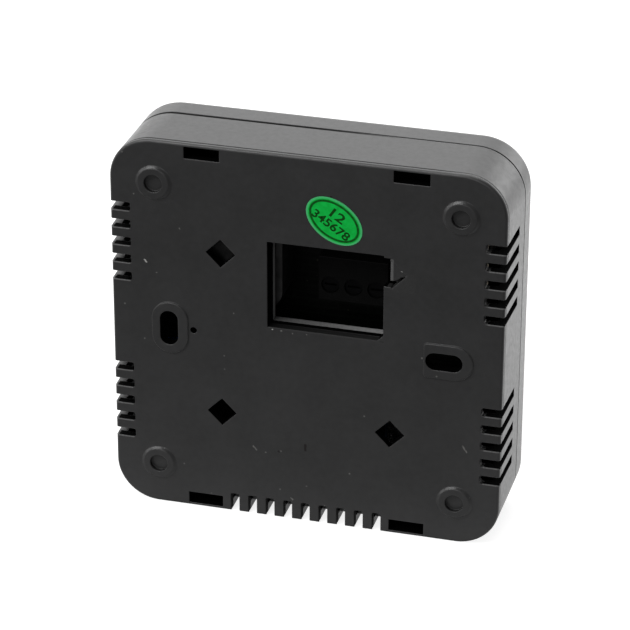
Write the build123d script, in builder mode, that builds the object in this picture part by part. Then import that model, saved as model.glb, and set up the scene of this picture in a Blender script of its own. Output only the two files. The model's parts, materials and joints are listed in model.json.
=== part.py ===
from build123d import *
import os

os.makedirs("parts", exist_ok=True)

# Wireless boiler programmer, in millimetres.
# X runs to the right as seen from behind, Y from the back plate (0) to the front, +Z is up.
# The origin lies midway between the two wall screw slots, on the outer face of the back plate.

# Casing
case_width = 86.0
case_height = 86.0
case_depth = 22.7
side_draft = 0.45
back_corner_radius = 9.3
front_corner_radius = 10.5
wall = 2.0
back_plate = 2.0
front_plate = 2.4
seam_depth = 15.3
seam_gap = 0.4
back_edge_radius = 0.6
front_edge_radius = 2.2
edge_groove_place = 0.95
edge_groove_width = 0.3
edge_groove_depth = 0.15
cut_overrun = 1.0

# Tongue of the front cover that enters the rear case
tongue_length = 2.0
tongue_thickness = 1.2
tongue_clearance = 0.15
tongue_root = 1.5

# Four latches and their windows
latch_spacing = 44.8
latch_window_width = 7.7
latch_window_height = 2.65
latch_window_skin = 0.7
latch_window_depth = 11.0
latch_side_clearance = 0.35
latch_arm_thickness = 1.4
latch_nose_length = 1.5
latch_nose_flat = 0.4
latch_nose_reach = 1.05
latch_catch_clearance = 0.3

# Wall screw slots and the raised pads round them
screw_spacing = 60.0
screw_slot_length = 8.0
screw_slot_width = 4.0
slot_pad_margin = 2.0
slot_pad_shift = 0.2
slot_pad_inner_margin = 0.4
slot_pad_outer_margin = 2.2
slot_pad_corner = 0.8
slot_pad_height = 0.35
slot_pad_edge_radius = 0.2

# Ring pads and the posts behind them that carry the main board
ring_inset_x = 10.1
ring_inset_z = 9.7
ring_diameter = 7.9
ring_height = 0.5
ring_slope = 0.6
ring_edge_radius = 0.2
ring_recess_diameter = 4.0
ring_recess_depth = 0.9
post_diameter = 6.0

# Diamond holes, three through and one blind, with a tear along the lower right side of the blind one
diamond_spacing_x = 37.0
diamond_spacing_z = 37.6
diamond_side = 4.6
diamond_recess_depth = 0.15
tear_shares = ((-0.5, -0.5), (0.4, -0.5), (0.23, -0.385), (0.0, -0.37), (-0.14, -0.32), (-0.28, -0.19),
               (-0.5, -0.35))

# Cable opening and the collar behind it
opening_left = 8.35
opening_right = 16.8
opening_bottom = 3.0
opening_top = 22.85
opening_chamfer = 1.25
notch_width = 1.4
notch_height = 6.6
notch_drop = 0.45
collar_step = 0.7
collar_depth = 2.0
collar_wall = 1.6
collar_side_clearance = 0.8
collar_top_clearance = 0.25

# Air slots
vent_width = 1.95
vent_corner_radius = 0.4
vent_pitch = 4.05
vent_count = 5
upper_vent_first = 10.95
lower_vent_first = 10.65
vent_reach = 4.4
vent_depth = 10.6
bottom_vent_pitch = 3.95
bottom_vent_count = 9
bottom_vent_depth = 6.2

# Reset hole, and the switch behind it
reset_place = 24.65
reset_hole_diameter = 1.45
reset_body_height = 3.8
reset_plunger_height = 2.4
reset_travel = 0.3

# Inspection sticker
sticker_length = 13.2
sticker_width = 9.1
sticker_thickness = 0.12
sticker_tilt = -34.5
sticker_right = 6.1
sticker_drop = 13.57

# Main board and its screws
board_thickness = 1.6
board_edge_gap = 1.65
board_corner_radius = 7.0
board_hole_inset_x = 2.6
board_hole_diameter = 2.3
screw_diameter = 1.8
screw_length = 4.5
screw_head_diameter = 3.8
screw_head_height = 1.3
screw_recess_length = 2.2
screw_recess_width = 0.5
screw_recess_depth = 0.7
boss_diameter = 4.6
boss_pilot_clearance = 0.05
boss_tip_clearance = 0.6

# Display
window_side_border = 10.15
window_top_border = 8.15
window_key_distance = 15.15
window_thickness = 1.5
window_corner_radius = 2.0
window_clearance = 0.15
window_ledge = 2.85
frame_inset = 0.25
frame_wall = 1.4
frame_front_gap = 0.1
frame_corner_radius = 1.0
panel_clearance = 0.2
panel_thickness = 2.1
panel_front_gap = 0.3
guide_margin = 3.0
guide_thickness = 1.4
guide_dot_diameter = 1.0
guide_dot_depth = 0.2
guide_dot_pitch = 6.0
lamp_gap = 0.3
lamp_width = 1.2
lamp_height = 3.2
lamp_count = 2
strip_gap = 0.7
strip_width = 2.0
strip_end_margin = 6.0

# Front keys and their switches
key_names = ["power", "menu", "down", "up", "confirm"]
key_pitch = 13.0
key_rise = 17.0
key_width = 9.0
key_height = 6.0
key_corner_radius = 2.6
key_proud = 0.5
key_edge_radius = 0.4
key_clearance = 0.2
key_flange_margin = 0.8
key_flange_thickness = 0.7
key_flange_gap = 0.15
key_stem_diameter = 3.0
key_travel = 0.4
switch_side = 4.5
switch_height = 1.8
switch_edge_radius = 0.3
plunger_diameter = 2.0
plunger_clearance = 0.1
plunger_margin = 0.2
plunger_foot = 0.6

# Power module
module_side_room = 11.7
module_overlap = 1.3
module_rise = 1.15
module_top_inset = 1.8
module_collar_gap = 0.6
module_corner_radius = 4.5
module_rib_width = 1.0
module_rib_depth = 0.5

# Terminal block with rising clamps
pole_names = ["left", "middle", "right"]
pole_pitch = 5.0
terminal_side_gap = 0.8
terminal_rise = 4.65
terminal_height = 10.0
terminal_depth = 8.0
terminal_floor = 0.9
way_width = 3.8
way_height = 7.0
way_depth = 4.1
well_diameter = 3.9
clamp_clearance = 0.15
clamp_setback = 1.0
clamp_height = 5.0
clamp_depth = 3.0
clamp_wall = 0.7
clamp_travel = 0.75
terminal_shoulder = 1.0
terminal_screw_diameter = 2.5
terminal_screw_clearance = 0.05
terminal_bore_clearance = 0.1
terminal_screw_tip = 0.3
terminal_head_diameter = 3.6
terminal_head_height = 1.5
terminal_head_gap = 0.05

# Capacitor, fuse and varistor
capacitor_diameter = 8.0
capacitor_plate_gap = 1.9
capacitor_edge_gap = 1.5
capacitor_edge_radius = 0.6
capacitor_groove_width = 0.8
capacitor_groove_depth = 0.3
fuse_diameter = 3.4
fuse_length = 7.0
fuse_edge_radius = 0.3
fuse_standoff = 0.6
fuse_edge_inset = 5.9
lead_diameter = 0.7
lead_run = 1.3
lead_bend_radius = 0.8
varistor_diameter = 9.0
varistor_thickness = 3.6
varistor_edge_radius = 1.2
varistor_standoff = 0.5
varistor_edge_inset = 6.0
varistor_lead_spacing = 5.0

# Controller, crystal and buzzer
chip_side = 10.0
chip_height = 1.4
chip_standoff = 0.15
chip_lead_count = 8
chip_lead_pitch = 1.0
chip_lead_width = 0.4
chip_lead_thickness = 0.35
chip_lead_reach = 0.9
crystal_length = 8.0
crystal_width = 3.8
crystal_height = 3.0
crystal_rim = 0.4
crystal_rim_height = 0.5
crystal_edge_radius = 0.4
buzzer_diameter = 12.0
buzzer_height = 6.5
buzzer_edge_radius = 0.4
buzzer_port_diameter = 2.0
buzzer_port_depth = 1.0

# Radio
radio_width = 15.0
radio_height = 18.0
radio_thickness = 0.8
shield_margin = 1.0
shield_height = 11.0
shield_depth = 2.0
shield_edge_radius = 0.3
antenna_diameter = 0.8
antenna_standoff = 4.0
antenna_radio_gap = 3.5
antenna_edge_inset = 1.8
antenna_top_inset = 10.0
antenna_return = 14.0
antenna_bend_radius = 2.5

# Backup cell
cell_diameter = 12.5
cell_thickness = 2.0
cell_clearance = 0.2
cell_edge_radius = 0.3
holder_wall = 1.05
holder_floor = 1.0
holder_lip = 0.4
contact_width = 3.0
contact_thickness = 0.3
contact_end_inset = 0.6
contact_dimple_diameter = 2.0

# Room sensor
bead_diameter = 2.6
sensor_reach = 6.0
sensor_lead_diameter = 0.5
sensor_lead_spacing = 1.2

# Places on the main board, as shares of its half width and half height
board_hole_height_share = 0.526
capacitor_height_share = 0.32
fuse_height_share = 0.66
varistor_height_share = -0.29
chip_place_shares = (-0.39, -0.53)
crystal_place_shares = (-0.39, -0.235)
radio_place_shares = (0.566, -0.54)
holder_place_shares = (0.053, -0.63)
buzzer_place_shares = (0.72, 0.237)
sensor_place_shares = (0.0, -0.94)

# Worked out from the sizes above
rear_depth = seam_depth - seam_gap / 2
cover_start = seam_depth + seam_gap / 2
cover_inner = case_depth - front_plate
back_width = case_width - 2 * side_draft
ring_spacing_x = case_width - 2 * ring_inset_x
ring_spacing_z = case_height - 2 * ring_inset_z
tongue_start = rear_depth - tongue_length
tongue_inset = wall + tongue_clearance
tongue_inner_inset = tongue_inset + tongue_thickness
board_width = case_width - 2 * (tongue_inner_inset + board_edge_gap)
board_height = case_height - 2 * (tongue_inner_inset + board_edge_gap)
board_hole_spacing_x = board_width - 2 * board_hole_inset_x
board_hole_spacing_z = board_height * board_hole_height_share
panel_front = cover_inner - panel_front_gap
panel_back = panel_front - panel_thickness
board_front = panel_back - guide_thickness
board_back = board_front - board_thickness
key_row = key_rise - case_height / 2
window_width = case_width - 2 * window_side_border
window_top = case_height / 2 - window_top_border
window_height = window_top - key_row - window_key_distance
display_rise = window_top - window_height / 2
frame_width = window_width - 2 * frame_inset
frame_height = window_height - 2 * frame_inset
panel_width = frame_width - 2 * (frame_wall + panel_clearance)
panel_height = frame_height - 2 * (frame_wall + panel_clearance)
guide_width = panel_width - 2 * guide_margin
guide_height = panel_height - 2 * guide_margin
strip_length = panel_width - 2 * strip_end_margin
key_count = len(key_names)
flange_front = cover_inner - key_flange_gap
flange_back = flange_front - key_flange_thickness
switch_front = board_front + switch_height
plunger_height = key_travel + plunger_margin
plunger_front = switch_front + plunger_height
plunger_bore_diameter = plunger_diameter + 2 * plunger_clearance
collar_left = -opening_left + collar_step
collar_right = opening_right + notch_width + collar_side_clearance
collar_bottom = opening_bottom + collar_step
collar_top = opening_top + collar_top_clearance
collar_end = back_plate + collar_depth
half_board_width = board_width / 2
half_board_height = board_height / 2
pole_count = len(pole_names)
terminal_right = opening_right - terminal_side_gap
terminal_left = terminal_right - pole_count * pole_pitch
terminal_bottom = opening_bottom + terminal_rise
terminal_back = board_back - terminal_depth
way_front = board_back - terminal_floor
way_back = way_front - way_depth
clamp_back = way_front - clamp_clearance - clamp_depth
clamp_bottom = terminal_bottom + clamp_setback
clamp_centre = clamp_bottom + clamp_height / 2
shoulder_back = way_back - terminal_shoulder


def at_depth(depth):
    """Sketch plane parallel to the back plate, local x along X and local y along Z."""
    return Plane.XZ.offset(-depth)


def forward(length, mode=Mode.ADD):
    """Extrude the sketch towards the front of the object."""
    extrude(amount=-length, mode=mode)


def between(left, right, bottom, top):
    """Rectangle given by its four sides."""
    with Locations(((left + right) / 2, (bottom + top) / 2)):
        Rectangle(right - left, top - bottom)


def on_board(shares):
    """Place on the main board from shares of its half width and half height."""
    return (shares[0] * half_board_width, shares[1] * half_board_height)


def rear_outline(depth, inset):
    """Outline of the rear case at a depth, drawn in from the outer skin."""
    share = depth / rear_depth
    width = back_width + share * (case_width - back_width)
    radius = back_corner_radius + share * (front_corner_radius - back_corner_radius)
    RectangleRounded(width - 2 * inset, case_height - 2 * inset, radius - inset)


def cover_outline(inset):
    """Outline of the front cover, drawn in from the outer skin."""
    RectangleRounded(case_width - 2 * inset, case_height - 2 * inset, front_corner_radius - inset)


def save(piece, name):
    """Label a finished piece and write its file."""
    piece.part.label = name
    export_step(piece.part, "parts/" + name + ".step")


# Rear case: tapered shell with a plate at the back

with BuildPart() as rear_case:
    with BuildSketch(at_depth(0)):
        rear_outline(0, 0)
    with BuildSketch(at_depth(rear_depth)):
        rear_outline(rear_depth, 0)
    loft(ruled=True)
    fillet(rear_case.faces().sort_by(Axis.Y)[0].edges(), radius=back_edge_radius)
    with BuildSketch(at_depth(back_plate)):
        rear_outline(back_plate, wall)
    with BuildSketch(at_depth(rear_depth)):
        rear_outline(rear_depth, wall)
    loft(ruled=True, mode=Mode.SUBTRACT)

    # Fine groove round the back edge
    with BuildSketch(at_depth(edge_groove_place)):
        rear_outline(edge_groove_place, -cut_overrun)
        RectangleRounded(back_width - 2 * edge_groove_depth, case_height - 2 * edge_groove_depth,
                         back_corner_radius - edge_groove_depth, mode=Mode.SUBTRACT)
    forward(edge_groove_width, Mode.SUBTRACT)

    # Collar that steps the cable opening inwards
    with BuildSketch(at_depth(back_plate)):
        between(collar_left - collar_wall, collar_right + collar_wall,
                collar_bottom - collar_wall, collar_top + collar_wall)
        with Locations(((collar_left + collar_right) / 2, (collar_bottom + collar_top) / 2)):
            Rectangle(collar_right - collar_left, collar_top - collar_bottom, mode=Mode.SUBTRACT)
    forward(collar_depth)

    # Posts that carry the main board
    with BuildSketch(at_depth(back_plate)):
        with GridLocations(ring_spacing_x, ring_spacing_z, 2, 2):
            Circle(post_diameter / 2)
    forward(board_back - back_plate)

    # Ring pads
    for ring_place in GridLocations(ring_spacing_x, ring_spacing_z, 2, 2):
        with BuildSketch(at_depth(0)):
            with Locations(ring_place):
                Circle(ring_diameter / 2)
        with BuildSketch(at_depth(-ring_height)):
            with Locations(ring_place):
                Circle(ring_diameter / 2 - ring_slope)
        loft()
    ring_rims = rear_case.edges().filter_by(GeomType.CIRCLE).group_by(Axis.Y)[0]
    fillet(ring_rims, radius=ring_edge_radius)
    with BuildSketch(at_depth(-ring_height)):
        with GridLocations(ring_spacing_x, ring_spacing_z, 2, 2):
            Circle(ring_recess_diameter / 2)
    forward(ring_recess_depth, Mode.SUBTRACT)

    # Raised pads round the two wall screw slots
    pad_width = screw_slot_width + 2 * slot_pad_margin
    pad_length = screw_slot_length + 2 * slot_pad_margin
    pad_left = screw_spacing / 2 - screw_slot_length / 2 - slot_pad_inner_margin
    pad_right = screw_spacing / 2 + screw_slot_length / 2 + slot_pad_outer_margin
    with BuildSketch(at_depth(0)) as left_pad:
        with Locations((slot_pad_shift - screw_spacing / 2, 0)):
            SlotOverall(pad_length, pad_width, rotation=90)
    extrude(amount=slot_pad_height)
    with BuildSketch(at_depth(0)) as right_pad:
        between(pad_left, pad_right - pad_width / 2, -pad_width / 2, pad_width / 2)
        fillet(right_pad.vertices().group_by(Axis.X)[0], radius=slot_pad_corner)
        with Locations((pad_right - pad_width / 2, 0)):
            Circle(pad_width / 2)
    extrude(amount=slot_pad_height)
    pad_faces = rear_case.faces().filter_by(
        lambda face: abs(face.center().Y + slot_pad_height) < slot_pad_edge_radius / 2
        and face.is_planar)
    fillet(pad_faces.edges(), radius=slot_pad_edge_radius)

    # Wall screw slots, one upright and one level
    with BuildSketch(at_depth(-slot_pad_height - cut_overrun)):
        with Locations((-screw_spacing / 2, 0)):
            SlotOverall(screw_slot_length, screw_slot_width, rotation=90)
        with Locations((screw_spacing / 2, 0)):
            SlotOverall(screw_slot_length, screw_slot_width)
    forward(slot_pad_height + back_plate + 2 * cut_overrun, Mode.SUBTRACT)

    # Cable opening with its corner chamfer and side notch
    notch_top = opening_top - notch_drop
    notch_bottom = notch_top - notch_height
    with BuildSketch(at_depth(-cut_overrun)):
        with BuildLine():
            Polyline(
                (-opening_left, opening_bottom),
                (opening_right - opening_chamfer, opening_bottom),
                (opening_right, opening_bottom + opening_chamfer),
                (opening_right, notch_bottom),
                (opening_right + notch_width, notch_bottom),
                (opening_right + notch_width, notch_top),
                (opening_right, notch_top),
                (opening_right, opening_top),
                (-opening_left, opening_top),
                close=True,
            )
        make_face()
    forward(back_plate + cut_overrun, Mode.SUBTRACT)

    # Diamond holes: the upper right one is a blind recess that meets the notch
    with BuildSketch(at_depth(-cut_overrun)):
        with Locations((-diamond_spacing_x / 2, diamond_spacing_z / 2),
                       (-diamond_spacing_x / 2, -diamond_spacing_z / 2),
                       (diamond_spacing_x / 2, -diamond_spacing_z / 2)):
            Rectangle(diamond_side, diamond_side, rotation=45)
    forward(back_plate + 2 * cut_overrun, Mode.SUBTRACT)
    with BuildSketch(at_depth(-cut_overrun)):
        with Locations((diamond_spacing_x / 2, diamond_spacing_z / 2)):
            Rectangle(diamond_side, diamond_side, rotation=45)
    forward(cut_overrun + diamond_recess_depth, Mode.SUBTRACT)

    # Tear between the notch and the right corner of the blind diamond
    tear_points = [(share_x * diamond_side, share_z * diamond_side) for share_x, share_z in tear_shares]
    with BuildSketch(at_depth(-cut_overrun)):
        with Locations((diamond_spacing_x / 2, diamond_spacing_z / 2)):
            Polygon(*tear_points, rotation=45, align=None)
    forward(cut_overrun + back_plate, Mode.SUBTRACT)

    # Reset hole
    with BuildSketch(at_depth(-cut_overrun)):
        with Locations((-reset_place, 0)):
            Circle(reset_hole_diameter / 2)
    forward(back_plate + 2 * cut_overrun, Mode.SUBTRACT)

    # Latch windows, sunk into the top and bottom walls
    window_outer = case_height / 2 - latch_window_skin
    window_middle = window_outer - latch_window_height / 2
    with BuildSketch(at_depth(-cut_overrun)):
        with GridLocations(latch_spacing, 2 * window_middle, 2, 2):
            Rectangle(latch_window_width, latch_window_height)
    forward(cut_overrun + latch_window_depth, Mode.SUBTRACT)

    # Air slots in both sides and the bottom
    vent_run = vent_reach + cut_overrun
    side_vent_middle = back_width / 2 - vent_reach + vent_run / 2
    bottom_vent_middle = case_height / 2 - vent_reach + vent_run / 2
    half_group = (vent_count - 1) * vent_pitch / 2
    with BuildSketch(at_depth(-cut_overrun)):
        with Locations((0, upper_vent_first + half_group), (0, -lower_vent_first - half_group)):
            with GridLocations(2 * side_vent_middle, vent_pitch, 2, vent_count):
                RectangleRounded(vent_run, vent_width, vent_corner_radius)
    forward(cut_overrun + vent_depth, Mode.SUBTRACT)
    with BuildSketch(at_depth(-cut_overrun)):
        with Locations((0, -bottom_vent_middle)):
            with GridLocations(bottom_vent_pitch, 0, bottom_vent_count, 1):
                RectangleRounded(vent_width, vent_run, vent_corner_radius)
    forward(cut_overrun + bottom_vent_depth, Mode.SUBTRACT)
save(rear_case, "rear_case")


# Inspection sticker on the back plate

with BuildPart() as inspection_sticker:
    with BuildSketch(at_depth(-sticker_thickness)):
        with Locations((sticker_right, case_height / 2 - sticker_drop)):
            Ellipse(sticker_length / 2, sticker_width / 2, rotation=sticker_tilt)
    forward(sticker_thickness)
save(inspection_sticker, "inspection_sticker")


# Front cover: shell with a tongue, four latches, screw bosses, display recess and key holes

with BuildPart() as front_cover:
    with BuildSketch(at_depth(cover_start)):
        cover_outline(0)
    forward(case_depth - cover_start)
    fillet(front_cover.faces().sort_by(Axis.Y)[-1].edges(), radius=front_edge_radius)
    with BuildSketch(at_depth(cover_start)):
        cover_outline(wall)
    forward(cover_inner - cover_start, Mode.SUBTRACT)

    # Tongue, rooted in the side walls
    with BuildSketch(at_depth(cover_start)):
        cover_outline(wall)
        RectangleRounded(case_width - 2 * tongue_inner_inset, case_height - 2 * tongue_inner_inset,
                         front_corner_radius - tongue_inner_inset, mode=Mode.SUBTRACT)
    forward(tongue_root)
    with BuildSketch(at_depth(tongue_start)):
        cover_outline(tongue_inset)
        RectangleRounded(case_width - 2 * tongue_inner_inset, case_height - 2 * tongue_inner_inset,
                         front_corner_radius - tongue_inner_inset, mode=Mode.SUBTRACT)
    forward(cover_start + tongue_root - tongue_start)

    # Latch arms with their noses
    arm_outer = case_height / 2 - tongue_inset
    arm_inner = arm_outer - latch_arm_thickness
    nose_outer = arm_outer + latch_nose_reach
    catch_depth = latch_window_depth - latch_catch_clearance
    nose_tip = catch_depth - latch_nose_length
    for side in (-1, 1):
        for latch_place in (-latch_spacing / 2, latch_spacing / 2):
            with BuildSketch(Plane.YZ.offset(latch_place)):
                with BuildLine():
                    Polyline(
                        (nose_tip, side * arm_inner),
                        (nose_tip, side * arm_outer),
                        (catch_depth - latch_nose_flat, side * nose_outer),
                        (catch_depth, side * nose_outer),
                        (catch_depth, side * arm_outer),
                        (cover_start, side * arm_outer),
                        (cover_start, side * arm_inner),
                        close=True,
                    )
                make_face()
            extrude(amount=latch_window_width / 2 - latch_side_clearance, both=True)

    # Screw bosses
    with BuildSketch(at_depth(board_front)):
        with GridLocations(board_hole_spacing_x, board_hole_spacing_z, 2, 2):
            Circle(boss_diameter / 2)
    forward(cover_inner - board_front)
    with BuildSketch(at_depth(board_front)):
        with GridLocations(board_hole_spacing_x, board_hole_spacing_z, 2, 2):
            Circle(screw_diameter / 2 + boss_pilot_clearance)
    forward(screw_length - board_thickness + boss_tip_clearance, Mode.SUBTRACT)

    # Display recess and the opening in its floor
    with BuildSketch(at_depth(case_depth - window_thickness)):
        with Locations((0, display_rise)):
            RectangleRounded(window_width + 2 * window_clearance, window_height + 2 * window_clearance,
                             window_corner_radius + window_clearance)
    forward(window_thickness + cut_overrun, Mode.SUBTRACT)
    with BuildSketch(at_depth(cover_inner - cut_overrun)):
        with Locations((0, display_rise)):
            Rectangle(window_width - 2 * window_ledge, window_height - 2 * window_ledge)
    forward(front_plate + cut_overrun, Mode.SUBTRACT)

    # Key holes
    with BuildSketch(at_depth(cover_inner - cut_overrun)):
        with Locations((0, key_row)):
            with GridLocations(key_pitch, 0, key_count, 1):
                RectangleRounded(key_width + 2 * key_clearance, key_height + 2 * key_clearance,
                                 key_corner_radius + key_clearance)
    forward(front_plate + 2 * cut_overrun, Mode.SUBTRACT)
save(front_cover, "front_cover")


# Display window, set flush in the front cover

with BuildPart() as display_window:
    with BuildSketch(at_depth(case_depth - window_thickness)):
        with Locations((0, display_rise)):
            RectangleRounded(window_width, window_height, window_corner_radius)
    forward(window_thickness)
save(display_window, "display_window")


# Display frame that holds the panel over the light guide

with BuildPart() as display_frame:
    with BuildSketch(at_depth(board_front)):
        with Locations((0, display_rise)):
            RectangleRounded(frame_width, frame_height, frame_corner_radius)
            Rectangle(frame_width - 2 * frame_wall, frame_height - 2 * frame_wall, mode=Mode.SUBTRACT)
    forward(cover_inner - frame_front_gap - board_front)
save(display_frame, "display_frame")


# Display panel

with BuildPart() as display_panel:
    with BuildSketch(at_depth(panel_back)):
        with Locations((0, display_rise)):
            Rectangle(panel_width, panel_height)
    forward(panel_thickness)
save(display_panel, "display_panel")


# Light guide with rows of shallow dots on the side that faces the board

with BuildPart() as light_guide:
    with BuildSketch(at_depth(board_front)):
        with Locations((0, display_rise)):
            Rectangle(guide_width, guide_height)
    forward(guide_thickness)
    dot_columns = int(guide_width / guide_dot_pitch)
    dot_rows = int(guide_height / guide_dot_pitch)
    with BuildSketch(at_depth(board_front)):
        with Locations((0, display_rise)):
            with GridLocations(guide_dot_pitch, guide_dot_pitch, dot_columns, dot_rows):
                Circle(guide_dot_diameter / 2)
    forward(guide_dot_depth, Mode.SUBTRACT)
save(light_guide, "light_guide")


# Lamps on the board at both ends of the light guide

with BuildPart() as backlight_lamps:
    with BuildSketch(at_depth(board_front)):
        with Locations((0, display_rise)):
            with GridLocations(guide_width + 2 * lamp_gap + lamp_width, 0, lamp_count, 1):
                Rectangle(lamp_width, lamp_height)
    forward(guide_thickness - lamp_gap)
save(backlight_lamps, "backlight_lamps")


# Elastomer strips that join the panel to the board above and below the light guide

strip_offset = guide_height / 2 + strip_gap + strip_width / 2
for strip_name, strip_place in (("upper", strip_offset), ("lower", -strip_offset)):
    with BuildPart() as elastomer_strip:
        with BuildSketch(at_depth(board_front)):
            with Locations((0, display_rise + strip_place)):
                Rectangle(strip_length, strip_width)
        forward(guide_thickness)
    save(elastomer_strip, strip_name + "_elastomer_strip")


# Main board

with BuildPart() as main_board:
    with BuildSketch(at_depth(board_back)):
        RectangleRounded(board_width, board_height, board_corner_radius)
        with GridLocations(board_hole_spacing_x, board_hole_spacing_z, 2, 2):
            Circle(board_hole_diameter / 2, mode=Mode.SUBTRACT)
    forward(board_thickness)
save(main_board, "main_board")


# Four board screws with cross recesses, seated on the rear of the board

with BuildPart() as board_screws:
    with BuildSketch(at_depth(board_back - screw_head_height)):
        with GridLocations(board_hole_spacing_x, board_hole_spacing_z, 2, 2):
            Circle(screw_head_diameter / 2)
    forward(screw_head_height)
    with BuildSketch(at_depth(board_back)):
        with GridLocations(board_hole_spacing_x, board_hole_spacing_z, 2, 2):
            Circle(screw_diameter / 2)
    forward(screw_length)
    with BuildSketch(at_depth(board_back - screw_head_height)):
        with GridLocations(board_hole_spacing_x, board_hole_spacing_z, 2, 2):
            Rectangle(screw_recess_length, screw_recess_width)
            Rectangle(screw_recess_width, screw_recess_length)
    forward(screw_recess_depth, Mode.SUBTRACT)
save(board_screws, "board_screws")


# Five front keys, each with its switch body and the plunger under it

for key_index, key_name in enumerate(key_names):
    key_place = (key_pitch * (key_index - (key_count - 1) / 2), key_row)

    with BuildPart() as key_cap:
        with BuildSketch(at_depth(flange_front)):
            with Locations(key_place):
                RectangleRounded(key_width, key_height, key_corner_radius)
        forward(case_depth + key_proud - flange_front)
        fillet(key_cap.faces().sort_by(Axis.Y)[-1].edges(), radius=key_edge_radius)
        with BuildSketch(at_depth(flange_back)):
            with Locations(key_place):
                RectangleRounded(key_width + 2 * key_flange_margin, key_height + 2 * key_flange_margin,
                                 key_corner_radius + key_flange_margin)
        forward(key_flange_thickness)
        with BuildSketch(at_depth(plunger_front)):
            with Locations(key_place):
                Circle(key_stem_diameter / 2)
        forward(flange_back - plunger_front)
    save(key_cap, key_name + "_key")

    with BuildPart() as switch_body:
        with BuildSketch(at_depth(board_front)):
            with Locations(key_place):
                RectangleRounded(switch_side, switch_side, switch_edge_radius)
        forward(switch_height)
        with BuildSketch(at_depth(switch_front - plunger_foot - plunger_height)):
            with Locations(key_place):
                Circle(plunger_bore_diameter / 2)
        forward(plunger_foot + plunger_height + cut_overrun, Mode.SUBTRACT)
    save(switch_body, key_name + "_switch_body")

    with BuildPart() as switch_plunger:
        with BuildSketch(at_depth(switch_front - plunger_foot)):
            with Locations(key_place):
                Circle(plunger_diameter / 2)
        forward(plunger_foot + plunger_height)
    save(switch_plunger, key_name + "_switch_plunger")


# Reset switch in line with the reset hole, and its long plunger

reset_back = board_back - reset_body_height
with BuildPart() as reset_switch_body:
    with BuildSketch(at_depth(reset_back)):
        with Locations((-reset_place, 0)):
            RectangleRounded(switch_side, switch_side, switch_edge_radius)
    forward(reset_body_height)
    with BuildSketch(at_depth(reset_back - cut_overrun)):
        with Locations((-reset_place, 0)):
            Circle(plunger_bore_diameter / 2)
    forward(cut_overrun + plunger_foot + reset_travel + plunger_margin, Mode.SUBTRACT)
save(reset_switch_body, "reset_switch_body")

with BuildPart() as reset_plunger:
    with BuildSketch(at_depth(reset_back - reset_plunger_height)):
        with Locations((-reset_place, 0)):
            Circle(plunger_diameter / 2)
    forward(reset_plunger_height + plunger_foot)
save(reset_plunger, "reset_plunger")


# Power module: potted block whose edge shows in the cable opening

module_left = module_side_room - half_board_width
module_right = collar_left + module_overlap
module_bottom = collar_bottom + module_rise
module_height = half_board_height - module_top_inset - module_bottom
module_back = collar_end + module_collar_gap
with BuildPart() as power_module:
    module_middle = ((module_left + module_right) / 2, module_bottom + module_height / 2)
    with BuildSketch(at_depth(module_back)):
        with Locations(module_middle):
            RectangleRounded(module_right - module_left, module_height, module_corner_radius)
    forward(board_back - module_back)
    with BuildSketch(at_depth(module_back)):
        with Locations(module_middle):
            with GridLocations(0, module_height / 2, 1, 2):
                Rectangle(module_right - module_left - 2 * module_corner_radius, module_rib_width)
    forward(module_rib_depth, Mode.SUBTRACT)
save(power_module, "power_module")


# Terminal block with a screw well and a wire way for each pole

terminal_middle = (terminal_left + terminal_right) / 2
with BuildPart() as terminal_block:
    with BuildSketch(at_depth(terminal_back)):
        between(terminal_left, terminal_right, terminal_bottom, terminal_bottom + terminal_height)
    forward(terminal_depth)
    with BuildSketch(at_depth(way_back)):
        with Locations((terminal_middle, terminal_bottom + (way_height - cut_overrun) / 2)):
            with GridLocations(pole_pitch, 0, pole_count, 1):
                Rectangle(way_width, way_height + cut_overrun)
    forward(way_depth, Mode.SUBTRACT)
    with BuildSketch(at_depth(terminal_back - cut_overrun)):
        with Locations((terminal_middle, clamp_centre)):
            with GridLocations(pole_pitch, 0, pole_count, 1):
                Circle(well_diameter / 2)
    forward(cut_overrun + shoulder_back - terminal_back, Mode.SUBTRACT)
    with BuildSketch(at_depth(shoulder_back - cut_overrun)):
        with Locations((terminal_middle, clamp_centre)):
            with GridLocations(pole_pitch, 0, pole_count, 1):
                Circle(terminal_screw_diameter / 2 + terminal_bore_clearance)
    forward(terminal_shoulder + 2 * cut_overrun, Mode.SUBTRACT)
save(terminal_block, "terminal_block")


# For each pole a cage clamp in its wire way, and the screw that draws it up

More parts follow.
